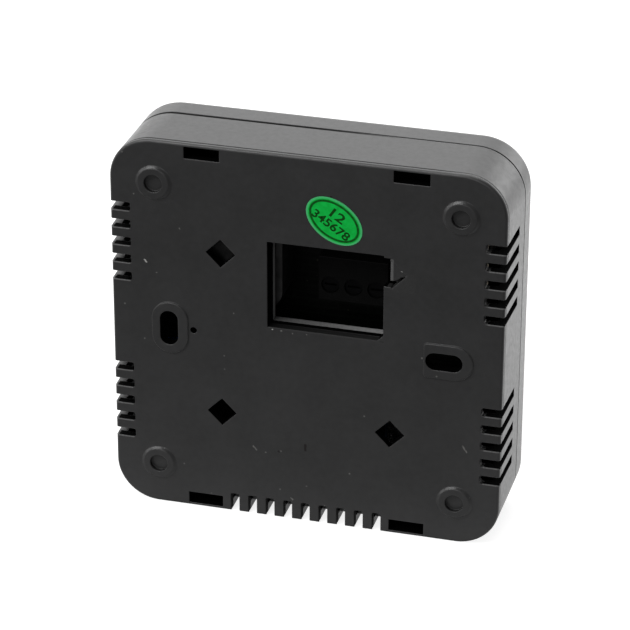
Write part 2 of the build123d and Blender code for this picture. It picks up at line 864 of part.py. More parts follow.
clamp_width = way_width - 2 * clamp_clearance
head_front = shoulder_back - terminal_head_gap
head_back = head_front - terminal_head_height
screw_tip = clamp_back + clamp_wall + terminal_screw_tip
for pole_index, pole_name in enumerate(pole_names):
    pole_x = terminal_middle + pole_pitch * (pole_index - (pole_count - 1) / 2)

    with BuildPart() as terminal_clamp:
        with BuildSketch(at_depth(clamp_back)):
            with Locations((pole_x, clamp_centre)):
                Rectangle(clamp_width, clamp_height)
        forward(clamp_depth)
        with BuildSketch(at_depth(clamp_back + clamp_wall)):
            with Locations((pole_x, clamp_centre)):
                Rectangle(clamp_width - 2 * clamp_wall, clamp_height + cut_overrun)
        forward(clamp_depth - 2 * clamp_wall, Mode.SUBTRACT)
        with BuildSketch(at_depth(clamp_back)):
            with Locations((pole_x, clamp_centre)):
                Circle(terminal_screw_diameter / 2 + terminal_screw_clearance)
        forward(screw_tip - clamp_back + clamp_travel + terminal_screw_clearance, Mode.SUBTRACT)
    save(terminal_clamp, pole_name + "_terminal_clamp")

    with BuildPart() as terminal_screw:
        with BuildSketch(at_depth(head_back)):
            with Locations((pole_x, clamp_centre)):
                Circle(terminal_head_diameter / 2)
        forward(terminal_head_height)
        with BuildSketch(at_depth(head_front)):
            with Locations((pole_x, clamp_centre)):
                Circle(terminal_screw_diameter / 2)
        forward(screw_tip - head_front)
        with BuildSketch(at_depth(head_back)):
            with Locations((pole_x, clamp_centre)):
                Rectangle(terminal_head_diameter - 2 * screw_recess_width, screw_recess_width)
        forward(screw_recess_depth, Mode.SUBTRACT)
    save(terminal_screw, pole_name + "_terminal_screw")


# Bulk capacitor: can with a rolled groove above its seal

capacitor_place = (capacitor_edge_gap + capacitor_diameter / 2 - half_board_width,
                   capacitor_height_share * half_board_height)
capacitor_height = board_back - back_plate - capacitor_plate_gap
with BuildPart() as bulk_capacitor:
    with BuildSketch(at_depth(board_back - capacitor_height)):
        with Locations(capacitor_place):
            Circle(capacitor_diameter / 2)
    forward(capacitor_height)
    fillet(bulk_capacitor.faces().sort_by(Axis.Y)[0].edges(), radius=capacitor_edge_radius)
    with BuildSketch(at_depth(board_back - 2 * capacitor_groove_width)):
        with Locations(capacitor_place):
            Circle(capacitor_diameter / 2 + cut_overrun)
            Circle(capacitor_diameter / 2 - capacitor_groove_depth, mode=Mode.SUBTRACT)
    forward(capacitor_groove_width, Mode.SUBTRACT)
save(bulk_capacitor, "bulk_capacitor")


# Input fuse: capsule that lies across the board, with two bent leads

fuse_x = fuse_edge_inset - half_board_width
fuse_z = fuse_height_share * half_board_height
fuse_axis_depth = board_back - fuse_standoff - fuse_diameter / 2
with BuildPart() as input_fuse:
    with BuildSketch(Plane.YZ.offset(fuse_x)):
        with Locations((fuse_axis_depth, fuse_z)):
            Circle(fuse_diameter / 2)
    extrude(amount=fuse_length / 2, both=True)
    fillet(input_fuse.edges().filter_by(GeomType.CIRCLE), radius=fuse_edge_radius)
    for side in (-1, 1):
        with BuildLine() as fuse_lead:
            FilletPolyline(
                (fuse_x + side * (fuse_length / 2 - fuse_edge_radius), fuse_axis_depth, fuse_z),
                (fuse_x + side * (fuse_length / 2 + lead_run), fuse_axis_depth, fuse_z),
                (fuse_x + side * (fuse_length / 2 + lead_run), board_back, fuse_z),
                radius=lead_bend_radius,
            )
        with BuildSketch(Plane(fuse_lead.line @ 0, z_dir=fuse_lead.line % 0)):
            Circle(lead_diameter / 2)
        sweep(path=fuse_lead.line)
save(input_fuse, "input_fuse")


# Surge varistor: coated disc on two straight leads

varistor_x = varistor_edge_inset - half_board_width
varistor_z = varistor_height_share * half_board_height
varistor_axis_depth = board_back - varistor_standoff - varistor_diameter / 2
with BuildPart() as surge_varistor:
    with BuildSketch(Plane.XY.offset(varistor_z - varistor_thickness / 2)):
        with Locations((varistor_x, varistor_axis_depth)):
            Circle(varistor_diameter / 2)
    extrude(amount=varistor_thickness)
    fillet(surge_varistor.edges().filter_by(GeomType.CIRCLE), radius=varistor_edge_radius)
    with BuildSketch(at_depth(varistor_axis_depth)):
        with Locations((varistor_x, varistor_z)):
            with GridLocations(varistor_lead_spacing, 0, 2, 1):
                Circle(lead_diameter / 2)
    forward(board_back - varistor_axis_depth)
save(surge_varistor, "surge_varistor")


# Microcontroller with leads on four sides

with BuildPart() as microcontroller:
    with BuildSketch(at_depth(board_back - chip_standoff - chip_height)):
        with Locations(on_board(chip_place_shares)):
            Rectangle(chip_side, chip_side)
    forward(chip_height)
    with BuildSketch(at_depth(board_back - chip_lead_thickness)):
        with Locations(on_board(chip_place_shares)):
            with GridLocations(0, chip_lead_pitch, 1, chip_lead_count):
                Rectangle(chip_side + 2 * chip_lead_reach, chip_lead_width)
            with GridLocations(chip_lead_pitch, 0, chip_lead_count, 1):
                Rectangle(chip_lead_width, chip_side + 2 * chip_lead_reach)
    forward(chip_lead_thickness)
save(microcontroller, "microcontroller")


# Clock crystal: pressed can on a flat rim

with BuildPart() as clock_crystal:
    with BuildSketch(at_depth(board_back - crystal_rim_height)):
        with Locations(on_board(crystal_place_shares)):
            SlotOverall(crystal_length, crystal_width)
    forward(crystal_rim_height)
    with BuildSketch(at_depth(board_back - crystal_height)):
        with Locations(on_board(crystal_place_shares)):
            SlotOverall(crystal_length - 2 * crystal_rim, crystal_width - 2 * crystal_rim)
    forward(crystal_height - crystal_rim_height)
    fillet(clock_crystal.faces().sort_by(Axis.Y)[0].edges(), radius=crystal_edge_radius)
save(clock_crystal, "clock_crystal")


# Buzzer with a sound port

with BuildPart() as buzzer:
    with BuildSketch(at_depth(board_back - buzzer_height)):
        with Locations(on_board(buzzer_place_shares)):
            Circle(buzzer_diameter / 2)
    forward(buzzer_height)
    fillet(buzzer.faces().sort_by(Axis.Y)[0].edges(), radius=buzzer_edge_radius)
    with BuildSketch(at_depth(board_back - buzzer_height)):
        with Locations(on_board(buzzer_place_shares)):
            Circle(buzzer_port_diameter / 2)
    forward(buzzer_port_depth, Mode.SUBTRACT)
save(buzzer, "buzzer")


# Radio board, its shield can and the quarter-wave wire

radio_x, radio_z = on_board(radio_place_shares)
radio_back = board_back - radio_thickness
with BuildPart() as radio_board:
    with BuildSketch(at_depth(radio_back)):
        with Locations((radio_x, radio_z)):
            Rectangle(radio_width, radio_height)
    forward(radio_thickness)
save(radio_board, "radio_board")

with BuildPart() as radio_shield:
    shield_z = radio_z - radio_height / 2 + shield_margin + shield_height / 2
    with BuildSketch(at_depth(radio_back - shield_depth)):
        with Locations((radio_x, shield_z)):
            RectangleRounded(radio_width - 2 * shield_margin, shield_height, shield_edge_radius)
    forward(shield_depth)
    fillet(radio_shield.faces().sort_by(Axis.Y)[0].edges(), radius=shield_edge_radius)
save(radio_shield, "radio_shield")

antenna_depth = board_back - antenna_standoff
antenna_x = half_board_width - antenna_edge_inset
antenna_z = radio_z + radio_height / 2 + antenna_radio_gap
antenna_top = half_board_height - antenna_top_inset
with BuildPart() as radio_antenna:
    with BuildLine() as antenna_path:
        FilletPolyline(
            (radio_x - radio_width / 2, board_back, antenna_z),
            (radio_x - radio_width / 2, antenna_depth, antenna_z),
            (antenna_x, antenna_depth, antenna_z),
            (antenna_x, antenna_depth, antenna_top),
            (antenna_x - antenna_return, antenna_depth, antenna_top),
            radius=antenna_bend_radius,
        )
    with BuildSketch(Plane(antenna_path.line @ 0, z_dir=antenna_path.line % 0)):
        Circle(antenna_diameter / 2)
    sweep(path=antenna_path.line)
save(radio_antenna, "radio_antenna")


# Backup cell, its holder and the contact strip across it

holder_place = on_board(holder_place_shares)
holder_radius = cell_diameter / 2 + cell_clearance + holder_wall
cell_front = board_back - holder_floor
cell_back = cell_front - cell_thickness
holder_back = cell_back - holder_lip
with BuildPart() as cell_holder:
    with BuildSketch(at_depth(holder_back)):
        with Locations(holder_place):
            Circle(holder_radius)
    forward(board_back - holder_back)
    with BuildSketch(at_depth(holder_back)):
        with Locations(holder_place):
            Circle(cell_diameter / 2 + cell_clearance)
    forward(cell_front - holder_back, Mode.SUBTRACT)
save(cell_holder, "cell_holder")

with BuildPart() as backup_cell:
    with BuildSketch(at_depth(cell_back)):
        with Locations(holder_place):
            Circle(cell_diameter / 2)
    forward(cell_thickness)
    fillet(backup_cell.edges().filter_by(GeomType.CIRCLE), radius=cell_edge_radius)
save(backup_cell, "backup_cell")

with BuildPart() as cell_contact:
    with BuildSketch(at_depth(holder_back - contact_thickness)):
        with Locations(holder_place):
            SlotOverall(2 * (holder_radius - contact_end_inset), contact_width)
    forward(contact_thickness)
    with BuildSketch(at_depth(holder_back)):
        with Locations(holder_place):
            Circle(contact_dimple_diameter / 2)
    forward(cell_back - holder_back)
save(cell_contact, "cell_contact")


# Room sensor: bead on two leads, near the bottom air slots

sensor_x, sensor_z = on_board(sensor_place_shares)
bead_depth = board_back - sensor_reach
with BuildPart() as room_sensor:
    with Locations((sensor_x, bead_depth, sensor_z)):
        Sphere(bead_diameter / 2)
    with BuildSketch(at_depth(bead_depth)):
        with Locations((sensor_x, sensor_z)):
            with GridLocations(sensor_lead_spacing, 0, 2, 1):
                Circle(sensor_lead_diameter / 2)
    forward(sensor_reach)
save(room_sensor, "room_sensor")
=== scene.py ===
"""Wireless boiler programmer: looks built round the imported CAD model.

X points right as seen from behind, Y to the front and Z up. Blender's objects and lamps are in metres.
The boxes, spots, patterns and prints below are given in millimetres, which MM turns into metres.
"""

import math
from functools import reduce
from typing import NamedTuple

import bmesh
import bpy
from mathutils import Matrix, Vector
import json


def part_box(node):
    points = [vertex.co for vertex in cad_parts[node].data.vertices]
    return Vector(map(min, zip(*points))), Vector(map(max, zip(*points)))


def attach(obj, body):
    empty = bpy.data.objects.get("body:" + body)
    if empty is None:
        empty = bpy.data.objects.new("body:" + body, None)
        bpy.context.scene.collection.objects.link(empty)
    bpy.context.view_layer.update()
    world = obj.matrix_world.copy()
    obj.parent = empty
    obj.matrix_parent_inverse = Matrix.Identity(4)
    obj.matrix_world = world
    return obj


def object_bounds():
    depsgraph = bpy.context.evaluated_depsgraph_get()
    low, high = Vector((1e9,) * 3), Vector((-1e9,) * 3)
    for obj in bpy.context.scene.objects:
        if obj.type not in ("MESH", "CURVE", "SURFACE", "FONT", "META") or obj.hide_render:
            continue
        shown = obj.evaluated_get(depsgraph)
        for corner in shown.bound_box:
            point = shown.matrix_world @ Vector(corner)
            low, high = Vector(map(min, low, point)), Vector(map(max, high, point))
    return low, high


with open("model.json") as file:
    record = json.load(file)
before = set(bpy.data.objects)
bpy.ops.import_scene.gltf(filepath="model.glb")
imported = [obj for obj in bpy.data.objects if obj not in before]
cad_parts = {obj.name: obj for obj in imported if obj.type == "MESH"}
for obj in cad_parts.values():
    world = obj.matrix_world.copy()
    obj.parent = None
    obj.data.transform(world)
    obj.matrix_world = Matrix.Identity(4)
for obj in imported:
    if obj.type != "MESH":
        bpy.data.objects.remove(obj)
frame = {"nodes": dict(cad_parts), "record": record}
cad_low, cad_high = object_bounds()
scene = bpy.context.scene
MM = 0.001
WHITE = (1.0, 1.0, 1.0, 1.0)
QUARTERS = ((-1, -1), (1, -1), (1, 1), (-1, 1))


# Camera at the photograph's viewing angle

CAMERA_PLACE = Vector((157.738, -573.620, 306.304)) * MM
CAMERA_AZIMUTH = math.radians(15.1838)
CAMERA_ELEVATION = math.radians(26.7108)
CAMERA_ROLL = math.radians(0.1854)
CAMERA_LENS = 181.588
SENSOR_WIDTH = 36.0
CLIP_START, CLIP_END = 0.01, 50.0


def make_camera():
    data = bpy.data.cameras.new("camera")
    data.lens = CAMERA_LENS
    data.sensor_width = SENSOR_WIDTH
    data.clip_start, data.clip_end = CLIP_START, CLIP_END
    camera = bpy.data.objects.new("camera", data)
    scene.collection.objects.link(camera)
    forward = Vector((-math.sin(CAMERA_AZIMUTH) * math.cos(CAMERA_ELEVATION),
                      math.cos(CAMERA_AZIMUTH) * math.cos(CAMERA_ELEVATION),
                      -math.sin(CAMERA_ELEVATION)))
    level_right = forward.cross(Vector((0, 0, 1))).normalized()
    level_up = level_right.cross(forward)
    right = level_right * math.cos(CAMERA_ROLL) + level_up * math.sin(CAMERA_ROLL)
    up = right.cross(forward)
    turn = Matrix((right, up, -forward)).transposed().to_4x4()
    camera.matrix_world = Matrix.Translation(CAMERA_PLACE) @ turn
    scene.camera = camera


make_camera()


# Shader helpers

NOISE_ROUGHNESS = 0.55
NOISE_SPAN = (0.35, 0.65)    # nearly all values of a fine noise lie in one of these two
WIDE_SPAN = (0.3, 0.7)
SEED_TURN = (1.0, 0.7, 1.3)
SPECK_CORE_SHARE = 0.4       # of a speck's radius, fully covered
SPOT_CORE_SHARE = 0.5
WOBBLE_SIZE = 0.35           # of a spot's ragged outline
WOBBLE_REACH = 0.45
COMB_SOFT = (0.06, 0.02)     # where a slot's paint ends and where it is full, beyond the slot's wall
RAGGED_SIZE = 0.7            # of a ragged box's outline
BLOTCH_SIZE = 0.45           # of a spread paint's blotches


class Comb(NamedTuple):
    """Slots at an even pitch along an axis."""
    axis: str
    centre: float
    pitch: float
    width: float


class Ramp(NamedTuple):
    """A share that changes along an axis from one place to another."""
    axis: str
    start: float
    start_share: float
    end: float
    end_share: float


class Box(NamedTuple):
    """A box of the object, inside which a layer of paint shows."""
    low: tuple
    high: tuple
    blur: float = 0.03
    ragged: float = 0.0
    comb: Comb = None
    ramp: Ramp = None
    folded: bool = False  # the same box in all four quarters


class Layer(NamedTuple):
    """A paint and the boxes that it fills."""
    paint: tuple
    rough: float
    boxes: tuple
    metal: float = 0.0    # takes the shine off a dark paint
    spread: float = 0.0   # how far the paint's lightness varies in fine blotches, as a share


def grey(level):
    return (level,) * 3


def rgba(colour, factor=1.0):
    return tuple(min(1.0, c * factor) for c in colour) + (1.0,)


def sooty(*boxes):
    """Painted shade: a black without any shine, for holes, slots and gaps that lie in shadow."""
    return Layer(grey(0.0032), 1.0, boxes, metal=1.0)


class Graph:
    """A node tree and the node shapes that the materials and the world share."""

    def __init__(self, tree):
        self.tree = tree
        tree.nodes.clear()

    def node(self, kind, inputs=(), **settings):
        made = self.tree.nodes.new("ShaderNode" + kind)
        for key, value in settings.items():
            setattr(made, key, value)
        for key, value in dict(inputs).items():
            if isinstance(value, bpy.types.NodeSocket):
                self.tree.links.new(value, made.inputs[key])
            else:
                made.inputs[key].default_value = value
        return made

    def remap(self, value, low, high, to_low=0.0, to_high=1.0):
        return self.node("MapRange", {"Value": value, "From Min": low, "From Max": high,
                                      "To Min": to_low, "To Max": to_high}).outputs["Result"]

    def math(self, operation, first, second=0.0):
        return self.node("Math", {0: first, 1: second}, operation=operation).outputs[0]

    def vector(self, operation, first, second=(0.0, 0.0, 0.0)):
        return self.node("VectorMath", {0: first, 1: second}, operation=operation).outputs[0]

    def measure(self, operation, first, second):
        """A number worked out from two vectors."""
        return self.node("VectorMath", {0: first, 1: second}, operation=operation).outputs["Value"]

    def most(self, operation, values):
        """The largest or smallest of several values."""
        return reduce(lambda so_far, value: self.math(operation, so_far, value), values)

    def ray_strength(self, seen, mirrored, diffuse=0.0):
        """Strength that differs for rays seen straight or through glass, mirrored rays and diffuse ones."""
        path = self.node("LightPath").outputs
        straight = self.math("MAXIMUM", path["Is Camera Ray"], path["Is Transmission Ray"])
        strength = self.math("ADD", self.math("MULTIPLY", straight, seen),
                             self.math("MULTIPLY", path["Is Glossy Ray"], mirrored))
        return self.math("ADD", strength, self.math("MULTIPLY", path["Is Diffuse Ray"], diffuse))


class Shader(Graph):
    """One material and what its patterns are made of."""

    def __init__(self, name):
        self.material = bpy.data.materials.new(name)
        self.material.use_nodes = True
        super().__init__(self.material.node_tree)
        self.output = self.node("OutputMaterial")
        self.place = self.node("TexCoord").outputs["Object"]
        self.cache = {}

    def noise(self, size, detail=3.0, place=None):
        """Noise whose blotches are about as wide as size."""
        return self.node("TexNoise", {"Vector": place or self.place, "Scale": 1 / (size * MM),
                                      "Detail": detail, "Roughness": NOISE_ROUGHNESS}).outputs["Fac"]

    def mix(self, share, first, second):
        return self.node("Mix", {0: share, 6: first, 7: second}, data_type="RGBA").outputs[2]

    def mix_value(self, share, first, second):
        return self.node("Mix", {0: share, 2: first, 3: second}, data_type="FLOAT").outputs[0]

    def axis(self, name):
        """One coordinate of the point on the object, in metres."""
        if "axes" not in self.cache:
            self.cache["axes"] = self.node("SeparateXYZ", {"Vector": self.place}).outputs
        return self.cache["axes"][name]

    def specks(self, cell, radius_share, share, seed):
        """Mask of scattered specks: radius_share is of a cell, and share of the cells have a speck."""
        shifted = self.vector("ADD", self.place, [seed * turn for turn in SEED_TURN])
        cells = self.node("TexVoronoi", {"Vector": shifted, "Scale": 1 / (cell * MM)}).outputs
        lot = self.node("SeparateColor", {"Color": cells["Color"]}).outputs[0]
        near = self.remap(cells["Distance"], radius_share, radius_share * SPECK_CORE_SHARE)
        return self.math("MULTIPLY", self.math("GREATER_THAN", lot, 1 - share), near)

    def spots(self, places, radius):
        """Mask of single spots of ragged outline."""
        if "shaken" not in self.cache:
            wobble = self.node("TexNoise", {"Vector": self.place, "Scale": 1 / (WOBBLE_SIZE * MM),
                                            "Detail": 1.0}).outputs["Color"]
            centred = self.vector("SUBTRACT", wobble, (0.5, 0.5, 0.5))
            moved = self.node("VectorMath", {0: centred, "Scale": WOBBLE_REACH * MM}, operation="SCALE")
            self.cache["shaken"] = self.vector("ADD", self.place, moved.outputs[0])
        shaken = self.cache["shaken"]
        reaches = [self.measure("DISTANCE", shaken, [c * MM for c in place]) for place in places]
        return self.remap(self.most("MINIMUM", reaches), radius * MM, radius * SPOT_CORE_SHARE * MM)

    def inside(self, box):
        """Share, 0 to 1, by which a point is in a box."""
        if box.folded and "folded" not in self.cache:
            self.cache["folded"] = self.vector("ABSOLUTE", self.place)
        centre = [(a + b) / 2 * MM for a, b in zip(box.low, box.high)]
        half = [(b - a) / 2 * MM for a, b in zip(box.low, box.high)]
        place = self.cache["folded"] if box.folded else self.place
        offset = self.vector("ABSOLUTE", self.vector("SUBTRACT", place, centre))
        beyond = self.node("SeparateXYZ", {"Vector": self.vector("SUBTRACT", offset, half)}).outputs
        reach = self.most("MAXIMUM", [beyond[name] for name in "XYZ"])
        if box.ragged:
            wobble = self.remap(self.noise(RAGGED_SIZE), *NOISE_SPAN, -box.ragged * MM, box.ragged * MM)
            reach = self.math("ADD", reach, wobble)
        share = self.remap(reach, box.blur * MM, -box.blur * MM)
        if box.comb:
            comb = box.comb
            shifted = self.math("SUBTRACT", self.axis(comb.axis), comb.centre * MM)
            off = self.math("PINGPONG", shifted, comb.pitch / 2 * MM)
            end, full = [(comb.width / 2 + soft) * MM for soft in COMB_SOFT]
            share = self.math("MULTIPLY", share, self.remap(off, end, full))
        if box.ramp:
            ramp = box.ramp
            along = self.remap(self.axis(ramp.axis), ramp.start * MM, ramp.end * MM,
                               ramp.start_share, ramp.end_share)
            share = self.math("MULTIPLY", share, along)
        return share

    def paint(self, layers, base, gloss):
        """Colour, roughness and metal share, with layers of paint over a base colour and a roughness."""
        metal = 0.0
        for layer in layers:
            share = self.most("MAXIMUM", [self.inside(box) for box in layer.boxes])
            paint = rgba(layer.paint)
            if layer.spread:
                blotch = self.remap(self.noise(BLOTCH_SIZE, detail=2.0), *NOISE_SPAN)
                darker, lighter = rgba(layer.paint, 1 - layer.spread), rgba(layer.paint, 1 + layer.spread)
                paint = self.mix(blotch, darker, lighter)
            base = self.mix(share, base, paint)
            gloss = self.mix_value(share, gloss, layer.rough)
            metal = self.mix_value(share, metal, layer.metal)
        return base, gloss, metal

    def bump(self, height, strength, distance, normal=None):
        inputs = {"Height": height, "Strength": strength, "Distance": distance * MM}
        if normal is not None:
            inputs["Normal"] = normal
        return self.node("Bump", inputs).outputs["Normal"]

    def bevel(self, radius, samples):
        return self.node("Bevel", {"Radius": radius * MM}, samples=samples).outputs[0]

    def surface(self, made):
        self.tree.links.new(made.outputs[0], self.output.inputs["Surface"])

    def principled(self, inputs):
        self.surface(self.node("BsdfPrincipled", inputs))


# Kinds of finish; sizes in millimetres

FINE_SHARE, CLOUD_SHARE = 0.6, 0.4     # of fine mottle and of broad clouds in moulded plastic
CLOUD_TIMES = 9                        # how much wider the clouds are
GLOSS_SIZE_SHARE = 0.7                 # of the gloss's blotches against the mottle's
GRAIN_DEPTH = 0.05
COAT_ROUGHNESS = 0.08

SHELL_MOTTLE, SHELL_CLOUD = 1.5, 11.0
SHELL_SPAN = (0.36, 0.64)
SHELL_LIGHTNESS = (0.87, 1.13)
SHELL_GRAIN = 0.24
# Painted shade in crevices: how far it reaches, the open shares where it is darkest and where it ends, how
# dark it gets and how much rougher
CREVICE_REACH = 4.5
CREVICE_SPAN = (0.25, 0.62)            # open share at which a crevice is darkest and at which it ends
CREVICE_SHADE = 0.08
CREVICE_ROUGHER = 0.2
FLECK = (0.12, 0.12, 0.115, 1.0)
BRIGHT_FLECK = (0.34, 0.34, 0.33, 1.0)
DARK_FLECK = (0.006, 0.004, 0.004, 1.0)

STREAK_STRETCH = (1.0, 1.0, 8.0)
STREAK_SIZE = 0.25
TARNISH_SIZE, TARNISH_SPAN, TARNISH_DARKNESS = 1.8, (0.35, 0.7), 0.76

TRACK_WIDTH, TRACK_LENGTH, TRACK_PITCH = 0.22, 6.5, 1.6
VIA = (0.02, 0.02, 0.016, 1.0)
PLASTIC_IOR = 1.49


def moulded(name, colour, rough, mottle=0.18, mottle_size=1.6, grain_size=0.22, grain=0.16,
            lip=0.0, specular=0.5, coat=0.0, layers=()):
    """Moulded plastic: mottled colour, uneven gloss, fine grain and softened lips."""
    s = Shader(name)
    mixed = s.math("ADD", s.math("MULTIPLY", s.noise(mottle_size, detail=4.0), FINE_SHARE),
                   s.math("MULTIPLY", s.noise(mottle_size * CLOUD_TIMES, detail=2.0), CLOUD_SHARE))
    base = s.mix(s.remap(mixed, *NOISE_SPAN), rgba(colour, 1 - mottle), rgba(colour, 1 + mottle))
    gloss = s.remap(s.noise(mottle_size * GLOSS_SIZE_SHARE), *WIDE_SPAN, rough - 0.05, rough + 0.06)
    base, gloss, metal = s.paint(layers, base, gloss)
    normal = s.bevel(lip, samples=6) if lip else None
    inputs = {
        "Base Color": base, "Roughness": gloss, "Metallic": metal, "Specular IOR Level": specular,
        "Normal": s.bump(s.noise(grain_size, detail=2.0), grain, GRAIN_DEPTH, normal),
    }
    if coat:
        inputs["Coat Weight"] = coat
        inputs["Coat Roughness"] = COAT_ROUGHNESS
    s.principled(inputs)
    return s.material


def shell(name, colour, rough, specular, lip, layers, flecks=()):
    """Casing plastic: painted shade and more roughness in its crevices, scattered and single flecks, and
    layers of paint.
    """
    s = Shader(name)
    mixed = s.math("ADD", s.math("MULTIPLY", s.noise(SHELL_MOTTLE, detail=4.0), 0.5),
                   s.math("MULTIPLY", s.noise(SHELL_CLOUD, detail=2.0), 0.5))
    base = s.mix(s.remap(mixed, *SHELL_SPAN), *(rgba(colour, lightness) for lightness in SHELL_LIGHTNESS))
    gloss = s.remap(s.noise(1.1), *WIDE_SPAN, rough - 0.04, rough + 0.05)
    # Painted shade: the colour darkens where other surfaces close round a point
    openness = s.node("AmbientOcclusion", {"Distance": CREVICE_REACH * MM}, samples=8).outputs["AO"]
    open_share = s.remap(openness, *CREVICE_SPAN)
    base = s.mix(open_share, rgba(colour, CREVICE_SHADE), base)
    gloss = s.math("ADD", gloss, s.math("MULTIPLY", s.math("SUBTRACT", 1.0, open_share), CREVICE_ROUGHER))
    scattered = s.specks(cell=3.1, radius_share=0.09, share=0.12, seed=3.0)
    base = s.mix(s.math("MULTIPLY", scattered, open_share), base, FLECK)
    for places, radius, paint in flecks:
        base = s.mix(s.spots(places, radius), base, paint)
    base, gloss, metal = s.paint(layers, base, gloss)
    s.principled({
        "Base Color": base, "Roughness": gloss, "Metallic": metal, "Specular IOR Level": specular,
        "Normal": s.bump(s.noise(SHELL_GRAIN, detail=2.0), strength=0.15, distance=GRAIN_DEPTH,
                         normal=s.bevel(lip, samples=8)),
    })
    return s.material


def metal(name, colour, rough):
    """Plated or drawn metal: fine streaks along one direction and faint tarnish."""
    s = Shader(name)
    lines = s.noise(STREAK_SIZE, place=s.vector("MULTIPLY", s.place, STREAK_STRETCH))
    stain = s.remap(s.noise(TARNISH_SIZE, detail=4.0), *TARNISH_SPAN)
    s.principled({
        "Base Color": s.mix(stain, rgba(colour), rgba(colour, TARNISH_DARKNESS)), "Metallic": 1.0,
        "Roughness": s.remap(lines, *WIDE_SPAN, rough - 0.07, rough + 0.1),
        "Normal": s.bump(lines, strength=0.12, distance=0.03),
    })
    return s.material


def laminate(name, colour, track, specular):
    """Solder mask over copper tracks: a raster of fine tracks with vias."""
    s = Shader(name)
    turned = s.node("Mapping", {"Vector": s.place, "Rotation": (math.pi / 2, 0.0, 0.0)}).outputs[0]
    raster = s.node("TexBrick", {"Vector": turned, "Color1": rgba(grey(0.0)), "Color2": rgba(grey(0.25)),
                                 "Mortar": WHITE, "Scale": 1.0, "Mortar Size": TRACK_WIDTH * MM,
                                 "Brick Width": TRACK_LENGTH * MM, "Row Height": TRACK_PITCH * MM})
    lines = raster.outputs["Color"]
    vias = s.specks(cell=2.2, radius_share=0.12, share=0.35, seed=1.0)
    s.principled({
        "Base Color": s.mix(vias, s.mix(lines, rgba(colour), rgba(track)), VIA),
        "Roughness": s.remap(s.noise(1.2), *WIDE_SPAN, 0.4, 0.55), "Specular IOR Level": specular,
        "Normal": s.bump(lines, strength=0.25, distance=0.04),
    })
    return s.material


def clear(name, tint, rough, weight):
    """Clear moulded plastic or glass with faint haze."""
    s = Shader(name)
    s.principled({
        "Base Color": s.mix(s.remap(s.noise(3.0), *NOISE_SPAN), rgba(tint), rgba(tint, 0.95)),
        "Transmission Weight": weight, "IOR": PLASTIC_IOR,
        "Roughness": s.remap(s.noise(0.8), *WIDE_SPAN, rough, rough + 0.03),
        "Normal": s.bump(s.noise(2.5, detail=1.0), strength=0.02, distance=GRAIN_DEPTH),
    })
    return s.material


# Sticker: place, tilt and size of the oval as the solid has them

STICKER_TILT = math.radians(-34.5)
STICKER_HALF = (6.6 * MM, 4.55 * MM)
STICKER_RIGHT = Vector((math.cos(STICKER_TILT), 0.0, math.sin(STICKER_TILT)))
STICKER_UP = Vector((-math.sin(STICKER_TILT), 0.0, math.cos(STICKER_TILT)))
sticker_low, sticker_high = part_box("inspection_sticker")
STICKER_CENTRE = (Vector(sticker_low) + Vector(sticker_high)) / 2
RING_DEPTH = 1.0 * MM
RING_WIDTH = 0.62 * MM
RIM_WIDTH = 0.42 * MM
PRINT_SOFT = 0.12 * MM
DEEP_GREEN, LIGHT_GREEN = (0.001, 0.37, 0.042, 1.0), (0.002, 0.48, 0.062, 1.0)
RING_GREEN, RIM_GREEN = (0.001, 0.055, 0.004, 1.0), (0.075, 0.46, 0.18, 1.0)
RIM_SHARE = 0.8
WORN_SPAN, WORN_SHARE = (0.3, 0.6), 0.85      # noise where the print thins, and how much of it is left there


def sticker_paper(name):
    """Green coated paper with a paler cut rim and a darker printed ring inside it."""
    s = Shader(name)
    from_centre = s.vector("SUBTRACT", s.place, STICKER_CENTRE)
    shares = [s.math("DIVIDE", s.measure("DOT_PRODUCT", from_centre, direction), half)
              for direction, half in zip((STICKER_RIGHT, STICKER_UP), STICKER_HALF)]
    slopes = [s.math("DIVIDE", share, half) for share, half in zip(shares, STICKER_HALF)]
    level, steepness = (s.math("ADD", *(s.math("MULTIPLY", value, value) for value in pair))
                        for pair in (shares, slopes))
    slope = s.math("MULTIPLY", s.math("SQRT", steepness), 2.0)
    depth = s.math("DIVIDE", s.math("SUBTRACT", 1.0, level), slope)
    off_ring = s.math("ABSOLUTE", s.math("SUBTRACT", depth, RING_DEPTH))
    ring = s.remap(off_ring, RING_WIDTH / 2 + PRINT_SOFT, RING_WIDTH / 2 - PRINT_SOFT)
    rim = s.remap(depth, RIM_WIDTH + PRINT_SOFT, RIM_WIDTH - PRINT_SOFT)
    base = s.mix(s.remap(s.noise(1.3, detail=4.0), *NOISE_SPAN), DEEP_GREEN, LIGHT_GREEN)
    worn = s.remap(s.noise(0.5, detail=2.0), *WORN_SPAN, WORN_SHARE, 1.0)
    ink = s.math("MULTIPLY", ring, worn)
    base = s.mix(ink, base, RING_GREEN)
    s.principled({
        "Base Color": s.mix(s.math("MULTIPLY", rim, RIM_SHARE), base, RIM_GREEN), "Specular IOR Level": 0.2,
        "Roughness": s.remap(s.noise(0.9), *WIDE_SPAN, 0.34, 0.46),
        "Normal": s.bump(s.noise(0.3, detail=2.0), strength=0.1, distance=0.04),
    })
    return s.material


# Layers of paint on the casing; places in millimetres, Y measured from the back's face

PAST_SIDE = 44.0                       # past the casing's sides
SKIN = -0.05                           # a hair outside the back's face
EDGE = 0.12                            # just inside its edges
PLATE = 2.1                            # just past the back plate
COLLAR = 4.15                          # just past the collar of the cable opening

